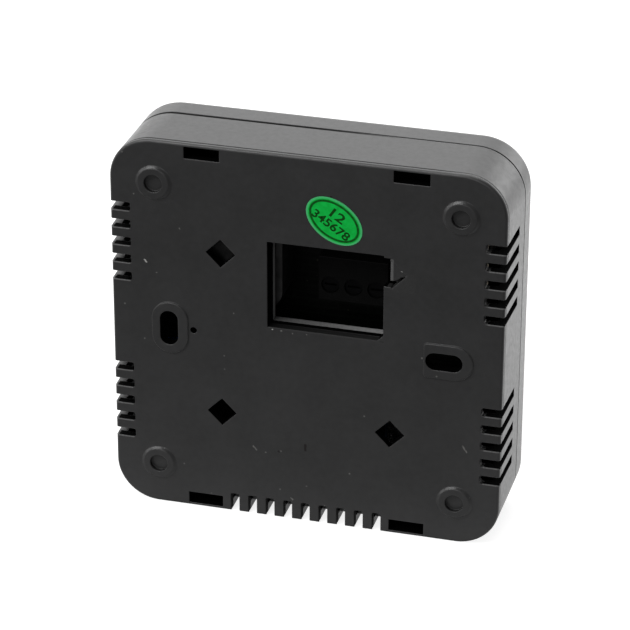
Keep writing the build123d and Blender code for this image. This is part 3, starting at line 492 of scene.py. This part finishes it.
ROUND_EDGE_BACK, ROUND_EDGE_FRONT, TOP_EDGE_LOW = 0.10, 0.85, 41.0
GROOVE_BACK, GROOVE_FRONT = 0.95, 1.25
GROOVE_SHADE = Ramp("X", 26.0, 1.0, 36.0, 0.0)
GROOVE_HIGHLIGHT = Ramp("X", 28.0, 0.0, 38.0, 1.0)
SEAM_BACK, SEAM_FRONT = 14.62, 15.3
SEAM_SHADE = Ramp("X", 0.0, 1.0, 18.0, 0.0)
LATCH_NEAR, LATCH_FAR = 18.4, 26.5     # ends of the latch windows, from the middle

VENT_COUNT, VENT_PITCH, VENT_WIDTH = 5, 4.05, 1.95
LOWEST_VENTS = (10.95, -26.85)         # centre of the lowest slot in each row at the sides
VENT_REACH = 1.15                      # from a slot's centre to just past it
LIP_DROP, LIP_WIDTH, LIP_REACH = 1.08, 0.16, 1.95
BOTTOM_HALF, BOTTOM_PITCH = 17.0, 3.95
NEAR_WALL_FRONT, FAR_WALL_FRONT = 1.95, 6.3     # of the bottom slots' near and far walls
BOTTOM_VENTS = Comb("X", 0.0, BOTTOM_PITCH, VENT_WIDTH)
BOTTOM_ENDS = Comb("X", 0.15, BOTTOM_PITCH, 1.6)
BOTTOM_TICKS = Comb("X", -0.25, BOTTOM_PITCH, 0.42)

OPENING_LEFT, OPENING_RIGHT, NOTCH_RIGHT = -8.4, 16.9, 18.3
OPENING_LOW, OPENING_HIGH = 3.0, 23.0
OPENING_WALL_SHADE = Ramp("X", OPENING_LEFT, 0.3, 16.0, 1.0)
OPENING_LIP_HIGHLIGHT = Ramp("X", -7.6, 0.42, 14.0, 1.0)
WALL_SLOT_BACK = -0.25                 # outside the raised pads round the two wall slots

DIAMOND_RIGHT, DIAMOND_UP, DIAMOND_REACH = 18.5, 18.8, 3.4
OPEN_DIAMONDS = ((-1, 1), (-1, -1), (1, -1))    # side and height; the fourth is blind


def side_vents(left, right, back, front, lips=False, blur=0.03, ragged=0.0):
    """A box over each row of air slots at one side, showing in the slots or on their lower lips."""
    drop, width, reach = (LIP_DROP, LIP_WIDTH, LIP_REACH) if lips else (0.0, VENT_WIDTH, VENT_REACH)
    boxes = []
    for lowest in LOWEST_VENTS:
        low = (left, back, lowest - reach)
        high = (right, front, lowest + (VENT_COUNT - 1) * VENT_PITCH + reach)
        boxes.append(Box(low, high, blur, ragged, Comb("Z", lowest - drop, VENT_PITCH, width)))
    return boxes


def bottom_vents(back, front, low, high, slots):
    return Box((-BOTTOM_HALF, back, low), (BOTTOM_HALF, front, high), comb=slots)


def diamond(side, height):
    """The walls of one diamond-shaped hole."""
    right, up, reach = side * DIAMOND_RIGHT, height * DIAMOND_UP, DIAMOND_REACH
    return Box((right - reach, EDGE, up - reach), (right + reach, PLATE, up + reach))


CASING_LAYERS = (
    # Painted highlight on the round edge above, and on the fine groove beyond it painted shade at the left
    # and a painted highlight at the right
    Layer(grey(0.046), 0.32, (
        Box((-PAST_SIDE, ROUND_EDGE_BACK, TOP_EDGE_LOW), (GROOVE_SHADE.end, ROUND_EDGE_FRONT, PAST_SIDE)),
    )),
    Layer(grey(0.020), 0.8, (
        Box((-PAST_SIDE, GROOVE_BACK - 0.03, -PAST_SIDE), (GROOVE_SHADE.end, GROOVE_FRONT - 0.01, PAST_SIDE),
            blur=0.02, ramp=GROOVE_SHADE),
    ), metal=0.65),
    Layer(grey(0.30), 0.5, (
        Box((GROOVE_HIGHLIGHT.start, GROOVE_BACK + 0.01, -PAST_SIDE),
            (PAST_SIDE, GROOVE_BACK + 0.10, PAST_SIDE), blur=0.02, ramp=GROOVE_HIGHLIGHT),
        Box((GROOVE_HIGHLIGHT.start, GROOVE_FRONT - 0.02, -PAST_SIDE),
            (PAST_SIDE, GROOVE_FRONT + 0.01, PAST_SIDE), blur=0.01, ramp=GROOVE_HIGHLIGHT),
    )),
    # Painted shade on the near walls of the bottom air slots, and painted highlights on their smooth far
    # walls and their inner ends
    Layer(grey(0.012), 0.9, (bottom_vents(EDGE, NEAR_WALL_FRONT, -43.3, -38.3, BOTTOM_VENTS),)),
    Layer(grey(0.20), 0.06, (
        bottom_vents(NEAR_WALL_FRONT, FAR_WALL_FRONT, -43.2, -38.3, BOTTOM_VENTS),
    ), spread=0.6),
    Layer(grey(0.45), 0.3, (bottom_vents(0.30, FAR_WALL_FRONT, -38.95, -38.2, BOTTOM_ENDS),), spread=0.6),
    # Painted shade: black in the ticks at the inner ends of the bottom air slots, in the air slots at the
    # sides, the latch windows, the open diamonds, the walls of the cable opening, the wall slots and the pin
    # hole
    sooty(
        bottom_vents(0.10, 1.1, -39.0, -38.2, BOTTOM_TICKS),
        # Air slots at the right, and at the left behind a soft end
        *side_vents(38.4, 43.3, EDGE, 10.8),
        *side_vents(-42.1, -38.0, EDGE, 2.0, blur=0.15),
        # Latch windows
        Box((LATCH_NEAR, EDGE, 39.5), (LATCH_FAR, 11.2, 42.5), folded=True),
        *(diamond(side, height) for side, height in OPEN_DIAMONDS),
        # Walls of the cable opening, wall slots and the pin hole
        Box((OPENING_LEFT - 0.6, 0.2, OPENING_LOW - 0.9), (NOTCH_RIGHT, COLLAR, OPENING_HIGH + 0.4)),
        Box((-32.4, WALL_SLOT_BACK, -4.4), (-27.6, PLATE, 4.4)),
        Box((25.6, WALL_SLOT_BACK, -2.4), (34.4, PLATE, 2.4)),
        Box((-25.6, 0.1, -1.0), (-23.7, PLATE, 1.0)),
    ),
    # Darker patch at the torn corner of the blind diamond, and painted shade on its edges inside, which have
    # no shine
    Layer(grey(0.017), 0.8, (Box((18.3, SKIN, 15.0), (23.6, 0.2, 19.0), blur=0.2),), spread=0.3),
    Layer(grey(0.008), 0.9, (Box((17.5, 0.19, 15.2), (22.2, PLATE, 19.0)),), spread=0.5),
    # Painted shade on the lower wall of the cable opening, and the edge in front of it, made dull so that it
    # has no shine
    Layer(grey(0.0065), 0.7, (
        Box((OPENING_LEFT, 0.2, OPENING_LOW - 0.1), (OPENING_RIGHT, 2.07, OPENING_LOW + 0.06),
            ramp=OPENING_WALL_SHADE),
    ), spread=0.25),
    Layer(grey(0.024), 0.9, (
        Box((OPENING_LEFT - 0.1, SKIN, OPENING_LOW - 0.26), (OPENING_RIGHT + 0.05, 0.19, OPENING_LOW + 0.01)),
    )),
    # Painted highlight on its lower lip, brighter to the right
    Layer(grey(0.24), 0.45, (
        Box((OPENING_LIP_HIGHLIGHT.start, PLATE, OPENING_LOW - 0.1), (NOTCH_RIGHT + 0.6, COLLAR, OPENING_LOW + 0.79),
            ramp=OPENING_LIP_HIGHLIGHT),
    ), spread=0.15),
    # Painted highlight as a light line at its left, and on the lip at the notch's right
    Layer(grey(0.17), 0.5, (Box((-7.80, 2.06, OPENING_LOW + 0.8), (-7.55, 3.70, OPENING_HIGH)),)),
    Layer(grey(0.12), 0.5, (
        Box((NOTCH_RIGHT - 0.15, SKIN, 17.3), (NOTCH_RIGHT + 0.45, 0.18, 22.2), blur=0.1),
    )),
    # Painted highlights on the lower lips of the air slots and on the ends of those at the left, and ragged
    # painted highlights at the ends of those at the right
    Layer(grey(0.085), 0.5, (
        *side_vents(-42.8, -38.5, SKIN, 0.22, lips=True),
        *side_vents(-38.66, -38.44, SKIN, 0.22),
        *side_vents(38.9, 42.5, SKIN, 0.22, lips=True),
    ), spread=0.25),
    Layer(grey(0.045), 0.6, side_vents(38.3, 38.9, 0.30, 1.7, ragged=0.3), spread=0.7),
    # Painted shade along the seam at the top left, fading out towards the right
    sooty(Box((-PAST_SIDE, SEAM_BACK, 36.0), (20.0, SEAM_FRONT, PAST_SIDE), blur=0.05, ramp=SEAM_SHADE)),
)
# Painted shade in the latch windows of the cover
COVER_LAYERS = (sooty(Box((LATCH_NEAR, 8.0, 39.0), (LATCH_FAR, SEAM_FRONT, 42.5), folded=True)),)

# Edge and top of the terminal block, where a little light falls on them
TERMINAL_LAYERS = (
    Layer(grey(0.020), 0.5, (Box((0.0, 5.5, 17.50), (17.0, 5.85, 17.8)),)),
    Layer(grey(0.010), 0.5, (Box((0.0, 5.85, 17.55), (17.0, 14.0, 17.8)),)),
)

# Walls of the power module past the edge of its face, in the dark
MODULE_LAYERS = (Layer(grey(0.0015), 1.0, (Box((-45.0, 4.85, -1.0), (20.0, 30.0, 45.0)),)),)


# Single flecks and scratches on the back plate, by their X and Z in millimetres

SCRATCH_STEP = 0.22


def scratch(start, end):
    """Places along a short straight line."""
    count = max(1, round(math.dist(start, end) / SCRATCH_STEP))
    return [[a + (b - a) * k / count for a, b in zip(start, end)] for k in range(count + 1)]


def on_back(places):
    return [(x, 0.0, z) for x, z in places]


LIGHT_SPOTS = on_back((
    (25.23, 0.2), (25.67, -0.44), (-37.33, 30.33), (-27.38, 23.51), (-32.65, 12.58), (-8.8, -27.3),
    (-5.4, -26.5), (-35.6, -3.4), (-31.7, -29.7), (-32.4, -35.5), (0.3, -34.3), (-15.7, 5.2), (34.8, 2.7),
    (-5.3, 2.45), (-2.83, 2.21), (0.2, 2.3), (-28.41, -4.0), (4.32, -38.46),
    *scratch((34.4, -19.4), (35.3, -20.7)), *scratch((35.74, -31.12), (36.19, -31.78)),
    *scratch((-11.6, -26.2), (-10.9, -26.9)), *scratch((-3.2, -37.8), (-2.8, -38.1)),
))
BRIGHT_SPOTS = on_back((
    (20.52, 19.65), (-27.85, 2.04), (-30.87, -4.34), (-7.3, 2.55), *scratch((-35.3, 15.3), (-34.8, 14.8)),
))
DARK_SPOTS = on_back((*scratch((0.0, -24.2), (0.0, -25.5)), (-5.9, -26.7), (5.4, 34.8)))
CASING_FLECKS = (
    (LIGHT_SPOTS, 0.22, FLECK),
    (BRIGHT_SPOTS, 0.22, BRIGHT_FLECK),
    (DARK_SPOTS, 0.34, DARK_FLECK),
)


# Finish of each material slot of the CAD nodes

FINISHES = {
    "casing_grey": (shell, dict(colour=(0.0262, 0.0262, 0.0265), rough=0.33, specular=0.42, lip=0.35,
                                layers=CASING_LAYERS, flecks=CASING_FLECKS)),
    "cover_grey": (shell, dict(colour=(0.0275, 0.0275, 0.0278), rough=0.32, specular=0.46, lip=0.3,
                               layers=COVER_LAYERS)),
    "key_grey": (moulded, dict(colour=(0.035, 0.035, 0.036), rough=0.36, lip=0.1)),
    "sticker_green": (sticker_paper, {}),
    "window_clear": (clear, dict(tint=(0.86, 0.88, 0.88), rough=0.02, weight=1.0)),
    "panel_glass": (moulded, dict(colour=(0.20, 0.235, 0.185), rough=0.22, mottle=0.04, mottle_size=4.0,
                                  grain_size=0.4, grain=0.02, coat=0.5)),
    "guide_clear": (clear, dict(tint=(0.9, 0.92, 0.95), rough=0.06, weight=0.9)),
    "lamp_white": (moulded, dict(colour=(0.75, 0.72, 0.5), rough=0.3, mottle=0.08)),
    "strip_rubber": (moulded, dict(colour=(0.20, 0.12, 0.15), rough=0.6, mottle=0.15, mottle_size=0.5)),
    "inner_black": (moulded, dict(colour=grey(0.010), rough=0.5, mottle=0.15)),
    "board_laminate": (laminate, dict(colour=(0.0018, 0.002, 0.0018), track=(0.0032, 0.004, 0.0032),
                                      specular=0.06)),
    "radio_laminate": (laminate, dict(colour=(0.006, 0.015, 0.05), track=(0.012, 0.04, 0.10), specular=0.3)),
    "screw_steel": (metal, dict(colour=(0.55, 0.55, 0.56), rough=0.3)),
    "terminal_steel": (metal, dict(colour=(0.008, 0.008, 0.0085), rough=0.55)),
    "clamp_brass": (metal, dict(colour=(0.6, 0.45, 0.2), rough=0.32)),
    "switch_black": (moulded, dict(colour=grey(0.012), rough=0.35, mottle=0.12)),
    "plunger_white": (moulded, dict(colour=(0.6, 0.6, 0.57), rough=0.35, mottle=0.06)),
    "module_black": (moulded, dict(colour=grey(0.014), rough=0.6, mottle=0.65, mottle_size=2.6,
                                   grain_size=0.4, grain=0.3, specular=0.3, layers=MODULE_LAYERS)),
    "terminal_black": (moulded, dict(colour=grey(0.0022), rough=0.7, mottle=0.2, specular=0.06,
                                     layers=TERMINAL_LAYERS)),
    "can_aluminium": (metal, dict(colour=(0.7, 0.7, 0.72), rough=0.28)),
    "fuse_body": (moulded, dict(colour=(0.40, 0.31, 0.20), rough=0.35, mottle=0.1)),
    "varistor_blue": (moulded, dict(colour=(0.02, 0.09, 0.32), rough=0.28, mottle=0.1, coat=0.3)),
    "chip_black": (moulded, dict(colour=grey(0.014), rough=0.5, mottle=0.1)),
    "can_steel": (metal, dict(colour=(0.6, 0.6, 0.6), rough=0.25)),
    "antenna_wire": (metal, dict(colour=(0.7, 0.62, 0.5), rough=0.22)),
    "cell_steel": (metal, dict(colour=(0.62, 0.62, 0.63), rough=0.2)),
    "contact_brass": (metal, dict(colour=(0.68, 0.52, 0.28), rough=0.26)),
    "sensor_bead": (moulded, dict(colour=grey(0.02), rough=0.25, mottle=0.1, coat=0.4)),
}
finish_of = {name: make(name, **values) for name, (make, values) in FINISHES.items()}

for part in frame["record"]["subparts"]:
    cad_node = frame["nodes"][part["node"]]
    cad_node.data.materials.clear()
    cad_node.data.materials.append(finish_of[part["material_slot"]])


# Printed pieces: display segments, key symbols and the numbers on the sticker; sizes in millimetres

PRINT_THICKNESS = 0.012
SEGMENTS = {"0": "abcdef", "1": "bc", "2": "abged", "3": "abgcd", "4": "fgbc", "5": "afgcd",
            "6": "afgedc", "7": "abc", "8": "abcdefg", "9": "abcdfg"}
SEGMENT_ENDS = {"a": ((0, 2), (1, 2)), "b": ((1, 2), (1, 1)), "c": ((1, 1), (1, 0)), "d": ((0, 0), (1, 0)),
                "e": ((0, 1), (0, 0)), "f": ((0, 2), (0, 1)), "g": ((0, 1), (1, 1))}
SEGMENT_GAP = 0.06
DIGIT_LEAN = 0.06

# Shares of a figure's height
WIDTH_SHARE, STROKE_SHARE, ADVANCE_SHARE = 0.52, 0.13, 0.80
POINT_SHARE, POINT_BACK_SHARE, POINT_ADVANCE_SHARE = 0.14, 0.08, 0.16
COLON_SHARE, COLON_RIGHT_SHARE, COLON_UP_SHARES, COLON_ADVANCE_SHARE = 0.12, 0.02, (0.28, 0.72), 0.24


def add_piece(name, mesh, material, body):
    piece = bpy.data.objects.new(name, mesh)
    scene.collection.objects.link(piece)
    mesh.materials.append(material)
    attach(piece, body)


class Print:
    """Flat prisms a hair proud of the front: right and up as read from the front."""

    def __init__(self, node):
        low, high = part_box(node)
        self.centre = Vector(((low[0] + high[0]) / 2, high[1], (low[2] + high[2]) / 2))
        self.mesh = bmesh.new()

    def place(self, right, up, proud):
        return self.centre + Vector((-right, proud, up)) * MM

    def shape(self, outline):
        low, high = ([self.mesh.verts.new(self.place(u, v, proud)) for u, v in outline]
                     for proud in (0.0, PRINT_THICKNESS))
        self.mesh.faces.new(low)
        self.mesh.faces.new(high[::-1])
        for index in range(len(outline)):
            after = (index + 1) % len(outline)
            self.mesh.faces.new((low[index], high[index], high[after], low[after]))

    def arc(self, u, v, radius, stroke, start, end, steps=28):
        """Part of a ring, between two angles in degrees from the right, anticlockwise."""
        turns = [math.radians(start + (end - start) * k / steps) for k in range(steps + 1)]
        outer, inner = ([(u + reach * math.cos(turn), v + reach * math.sin(turn)) for turn in turns]
                        for reach in (radius + stroke / 2, radius - stroke / 2))
        self.shape(outer + inner[::-1])

    def bar(self, u, v, width, height):
        half_u, half_v = width / 2, height / 2
        self.shape([(u + side * half_u, v + level * half_v) for side, level in QUARTERS])

    def segment(self, start, end, stroke):
        """One display segment: a bar with pointed ends."""
        start, end = Vector(start), Vector(end)
        along = (end - start).normalized()
        aside = Vector((-along.y, along.x)) * stroke / 2
        point = along * (stroke / 2 + SEGMENT_GAP)
        start, end = start + along * SEGMENT_GAP, end - along * SEGMENT_GAP
        self.shape([start, start + point + aside, end - point + aside,
                    end, end - point - aside, start + point - aside])

    def digit(self, u, v, height, value):
        """Seven-segment figure whose lower left corner is at u, v."""
        half = height / 2
        corner = {(a, b): (u + a * height * WIDTH_SHARE + b * half * DIGIT_LEAN, v + b * half)
                  for a in (0, 1) for b in (0, 1, 2)}
        for name in SEGMENTS[value]:
            first, second = SEGMENT_ENDS[name]
            self.segment(corner[first], corner[second], height * STROKE_SHARE)

    def number(self, u, v, height, text):
        """Figures in a row; a point or a colon takes less room."""
        for sign in text:
            if sign == ".":
                side = height * POINT_SHARE
                self.bar(u - height * POINT_BACK_SHARE, v, side, side)
                u += height * POINT_ADVANCE_SHARE
            elif sign == ":":
                side = height * COLON_SHARE
                for up_share in COLON_UP_SHARES:
                    self.bar(u + height * COLON_RIGHT_SHARE, v + height * up_share, side, side)
                u += height * COLON_ADVANCE_SHARE
            else:
                self.digit(u, v, height, sign)
                u += height * ADVANCE_SHARE

    def finish(self, name, material, body):
        bmesh.ops.recalc_face_normals(self.mesh, faces=self.mesh.faces)
        made = bpy.data.meshes.new(name)
        self.mesh.to_mesh(made)
        self.mesh.free()
        add_piece(name, made, material, body)


display_ink = moulded("display_ink", (0.006, 0.007, 0.006), rough=0.4, mottle=0.1, mottle_size=1.0,
                      specular=0.2)
key_ink = moulded("key_ink", (0.62, 0.62, 0.60), rough=0.45, mottle=0.08, mottle_size=0.8)
sticker_ink = moulded("sticker_ink", (0.001, 0.05, 0.003), rough=0.4, mottle=0.25, mottle_size=0.5,
                      specular=0.2)


# Display, from its centre

LEFT_COLUMN, SIGN_COLUMN, RADIO_COLUMN = -26.5, 24.0, -24.0
CLOCK_UP, CLOCK_HEIGHT = 12.2, 5.0
ROOM_PLACE, ROOM_HEIGHT = (-13.0, -6.5), 14.0
DEGREE_PLACE = (20.8, 6.4)
TARGET_UP, TARGET_HEIGHT = -1.5, 4.2
DAY_RIGHT, DAY_PITCH, DAY_UP, DAY_HEIGHT = -2.0, 4.1, 13.2, 3.0
TODAY_PLACE = (7.2, 12.2)
HOUR_PITCH, HOUR_UP, HOUR_WIDTH = 2.3, -15.6, 1.5
WARM_HOURS = (*range(6, 9), *range(17, 23))
WARM_BAR, COOL_BAR = 2.6, 1.2
HOUR_NUMBER_RIGHT, HOUR_NUMBER_UP, HOUR_NUMBER_HEIGHT = -27.3, -18.9, 1.9
RADIO_UP, FLAME_UP, LOCK_UP, LOCK_HEIGHT = 6.0, 0.4, -6.6, 2.0
FLAME = ((0.0, 3.6), (0.8, 2.4), (1.5, 1.2), (1.5, 0.1), (0.9, -0.7), (0.3, -0.9), (0.6, -0.1), (0.1, 0.8),
         (-0.4, 0.1), (-0.5, -0.8), (-1.1, -0.5), (-1.5, 0.3), (-1.3, 1.4), (-0.7, 2.0), (-0.5, 2.8))


def make_display():
    """Clock, room and target temperatures, day numbers, a day's programme and small signs."""
    sheet = Print("display_panel")
    sheet.number(*ROOM_PLACE, ROOM_HEIGHT, "21.5")
    sheet.arc(*DEGREE_PLACE, radius=1.0, stroke=0.5, start=0, end=360)
    sheet.number(LEFT_COLUMN, CLOCK_UP, CLOCK_HEIGHT, "08:30")
    sheet.number(LEFT_COLUMN, TARGET_UP, TARGET_HEIGHT, "20")
    for day in range(7):
        sheet.number(DAY_RIGHT + day * DAY_PITCH, DAY_UP, DAY_HEIGHT, str(day + 1))
    sheet.bar(*TODAY_PLACE, width=2.4, height=0.4)
    for hour in range(24):
        tall = WARM_BAR if hour in WARM_HOURS else COOL_BAR
        sheet.bar(LEFT_COLUMN + hour * HOUR_PITCH, HOUR_UP + tall / 2, HOUR_WIDTH, tall)
    for hour in (0, 6, 12, 18):
        sheet.number(HOUR_NUMBER_RIGHT + hour * HOUR_PITCH, HOUR_NUMBER_UP, HOUR_NUMBER_HEIGHT, str(hour))
    # Radio waves, a flame and a padlock
    for radius in (1.0, 2.0, 3.0):
        sheet.arc(RADIO_COLUMN, RADIO_UP, radius, stroke=0.45, start=50, end=130, steps=12)
    sheet.arc(RADIO_COLUMN, RADIO_UP, radius=0.2, stroke=0.4, start=0, end=360, steps=12)
    sheet.shape([(SIGN_COLUMN + u, FLAME_UP + v) for u, v in FLAME])
    sheet.bar(SIGN_COLUMN, LOCK_UP, width=2.6, height=LOCK_HEIGHT)
    sheet.arc(SIGN_COLUMN, LOCK_UP + LOCK_HEIGHT / 2, radius=0.85, stroke=0.4, start=0, end=180, steps=14)
    sheet.finish("display_segments", display_ink, "casing")


# Signs on the keys, from the key's centre

SIGN_STROKE = 0.36
MENU_ROWS, MENU_WIDTH = (-1.1, 0.0, 1.1), 3.2
CHEVRON = ((-1.5, 0.9), (0.0, -0.9), (1.5, 0.9), (1.05, 0.9), (0.0, -0.36), (-1.05, 0.9))
CHECK_MARK = ((-1.6, 0.1), (-1.32, 0.4), (-0.45, -0.5), (1.35, 1.25), (1.6, 0.98), (-0.45, -1.05))


def make_key_symbols():
    """One plain sign on each key, moving with its key."""
    for key in ("power", "menu", "down", "up", "confirm"):
        sign = Print(key + "_key")
        if key == "power":
            sign.arc(0.0, -0.15, radius=1.35, stroke=SIGN_STROKE, start=125, end=415)
            sign.bar(0.0, 0.95, SIGN_STROKE, height=1.7)
        elif key == "menu":
            for row in MENU_ROWS:
                sign.bar(0.0, row, MENU_WIDTH, SIGN_STROKE)
        elif key == "down":
            sign.shape(CHEVRON)
        elif key == "up":
            sign.shape([(u, -v) for u, v in CHEVRON])
        else:
            sign.shape(CHECK_MARK)
        sign.finish(key + "_symbol", key_ink, key + "_button")


# Numbers on the sticker: text, height and length of each row, and its centre above the sticker's

STICKER_ROWS = (("12", 2.15, 3.3, 1.5), ("345678", 2.0, 9.2, -1.05))
FONT_BOLDNESS = 0.022
MERGE_DISTANCE = 1e-7


def font_mesh(text):
    """Flat figures of the built-in font, as thick as the print."""
    curve = bpy.data.curves.new("number_row", "FONT")
    curve.body = text
    curve.align_x = "CENTER"
    curve.extrude = PRINT_THICKNESS * MM / 2
    curve.offset = FONT_BOLDNESS
    row = bpy.data.objects.new("number_row", curve)
    scene.collection.objects.link(row)
    bpy.context.view_layer.update()
    mesh = bpy.data.meshes.new_from_object(row.evaluated_get(bpy.context.evaluated_depsgraph_get()))
    bpy.data.objects.remove(row)
    bpy.data.curves.remove(curve)
    return mesh


def make_sticker_numbers():
    joined = bmesh.new()
    face = Vector((STICKER_CENTRE.x, sticker_low[1], STICKER_CENTRE.z))
    for text, height, length, up in STICKER_ROWS:
        mesh = font_mesh(text)
        across = [vertex.co.x for vertex in mesh.vertices]
        upward = [vertex.co.y for vertex in mesh.vertices]
        middle = (max(across) + min(across)) / 2
        wide, tall = max(across) - min(across), max(upward) - min(upward)
        for vertex in mesh.vertices:
            right = (vertex.co.x - middle) / wide * length * MM
            above = (vertex.co.y / tall * height + up - height / 2) * MM
            out = PRINT_THICKNESS * MM / 2 + vertex.co.z
            vertex.co = face + STICKER_RIGHT * right + STICKER_UP * above - Vector((0, out, 0))
        joined.from_mesh(mesh)
        bpy.data.meshes.remove(mesh)
    bmesh.ops.remove_doubles(joined, verts=joined.verts, dist=MERGE_DISTANCE)
    bmesh.ops.recalc_face_normals(joined, faces=joined.faces)
    made = bpy.data.meshes.new("sticker_numbers")
    joined.to_mesh(made)
    joined.free()
    add_piece("sticker_numbers", made, sticker_ink, "casing")


make_display()
make_key_symbols()
make_sticker_numbers()


# Stage and light, in metres

FLOOR_LEVEL = cad_low[2]
FLOOR_HALF = 4.0
FLOOR_GLOW, GLOW_LOSS = 1.1, 0.35       # for the camera, at the near side and its loss towards the far side
FLOOR_FADE = (-0.10, 0.03)              # Y between which the floor turns from its near to its far look
NEAR_FLOOR, FAR_FLOOR = grey(0.10), grey(0.50)
MIRROR_FADE = (-0.02, 0.06)             # Y between which the mirrored floor grows bright
RIGHT_SIDE_FADE = (0.03, 0.05)          # X past which it is bright sooner, and the Y where it is
RIGHT_DEPTH_FADE = (-0.01, 0.01)
ROOM_FADE, ROOM_GLOW = (-0.6, 0.6), (0.03, 0.9)
ROOM_DIFFUSE = 0.34


def make_floor():
    mesh = bpy.data.meshes.new("floor")
    corners = [(x * FLOOR_HALF, y * FLOOR_HALF, FLOOR_LEVEL) for x, y in QUARTERS]
    mesh.from_pydata(corners, [], [(0, 1, 2, 3)])
    floor = bpy.data.objects.new("floor", mesh)
    scene.collection.objects.link(floor)
    s = Shader("floor_white")
    depth = s.remap(s.axis("Y"), *FLOOR_FADE)
    right_share = s.math("MULTIPLY", s.remap(s.axis("X"), *RIGHT_SIDE_FADE),
                         s.remap(s.axis("Y"), *RIGHT_DEPTH_FADE))
    mirrored = s.math("MAXIMUM", s.remap(s.axis("Y"), *MIRROR_FADE), right_share)
    seen = s.math("SUBTRACT", FLOOR_GLOW, s.math("MULTIPLY", depth, GLOW_LOSS))
    glow = s.node("Emission", {"Color": WHITE, "Strength": s.ray_strength(seen, mirrored)})
    white = s.node("BsdfDiffuse", {"Color": s.mix(depth, rgba(NEAR_FLOOR), rgba(FAR_FLOOR))})
    s.surface(s.node("AddShader", {0: white.outputs[0], 1: glow.outputs[0]}))
    mesh.materials.append(s.material)


def make_world():
    """White to the camera; to the surfaces a soft room that is dimmer on the camera's side."""
    world = bpy.data.worlds.new("room")
    scene.world = world
    world.use_nodes = True
    g = Graph(world.node_tree)
    direction = g.node("TexCoord").outputs["Generated"]
    mirrored = g.remap(g.node("SeparateXYZ", {0: direction}).outputs["Y"], *ROOM_FADE, *ROOM_GLOW)
    strength = g.ray_strength(1.0, mirrored, ROOM_DIFFUSE)
    background = g.node("Background", {"Color": WHITE, "Strength": strength})
    g.node("OutputWorld", {"Surface": background.outputs[0]})


def softbox(name, place, length, breadth, radiance, along=None):
    """Rectangular lamp at a place, facing the object, its length level or along a direction."""
    data = bpy.data.lights.new(name, "AREA")
    data.shape = "RECTANGLE"
    data.size, data.size_y = length, breadth
    data.energy = radiance * math.pi * length * breadth
    lamp = bpy.data.objects.new(name, data)
    scene.collection.objects.link(lamp)
    away = Vector(place).normalized()
    side = Vector(along) if along else Vector((0, 0, 1)).cross(away)
    side = (side - away * side.dot(away)).normalized()
    turn = Matrix((side, away.cross(side), away)).transposed().to_4x4()
    lamp.matrix_world = Matrix.Translation(Vector(place)) @ turn


make_floor()
make_world()
softbox("key_light", (-0.593, -0.698, 0.922), length=0.9, breadth=0.45, radiance=7.2,
        along=(-0.57, 0.15, -0.32))
softbox("left_light", (-1.30, -0.50, 0.35), length=0.5, breadth=0.8, radiance=2.6)
softbox("fill_light", (-0.15, -1.30, 0.35), length=0.9, breadth=0.6, radiance=2.2)
softbox("rear_light", (-0.40, 1.20, 0.70), length=1.7, breadth=1.1, radiance=1.0)
softbox("top_light", (0.10, 0.30, 1.30), length=1.0, breadth=1.0, radiance=2.0)
softbox("side_light", (0.65, 1.25, 0.33), length=0.7, breadth=0.7, radiance=2.2)


scene.view_settings.view_transform = "Standard"
bpy.context.view_layer.update()
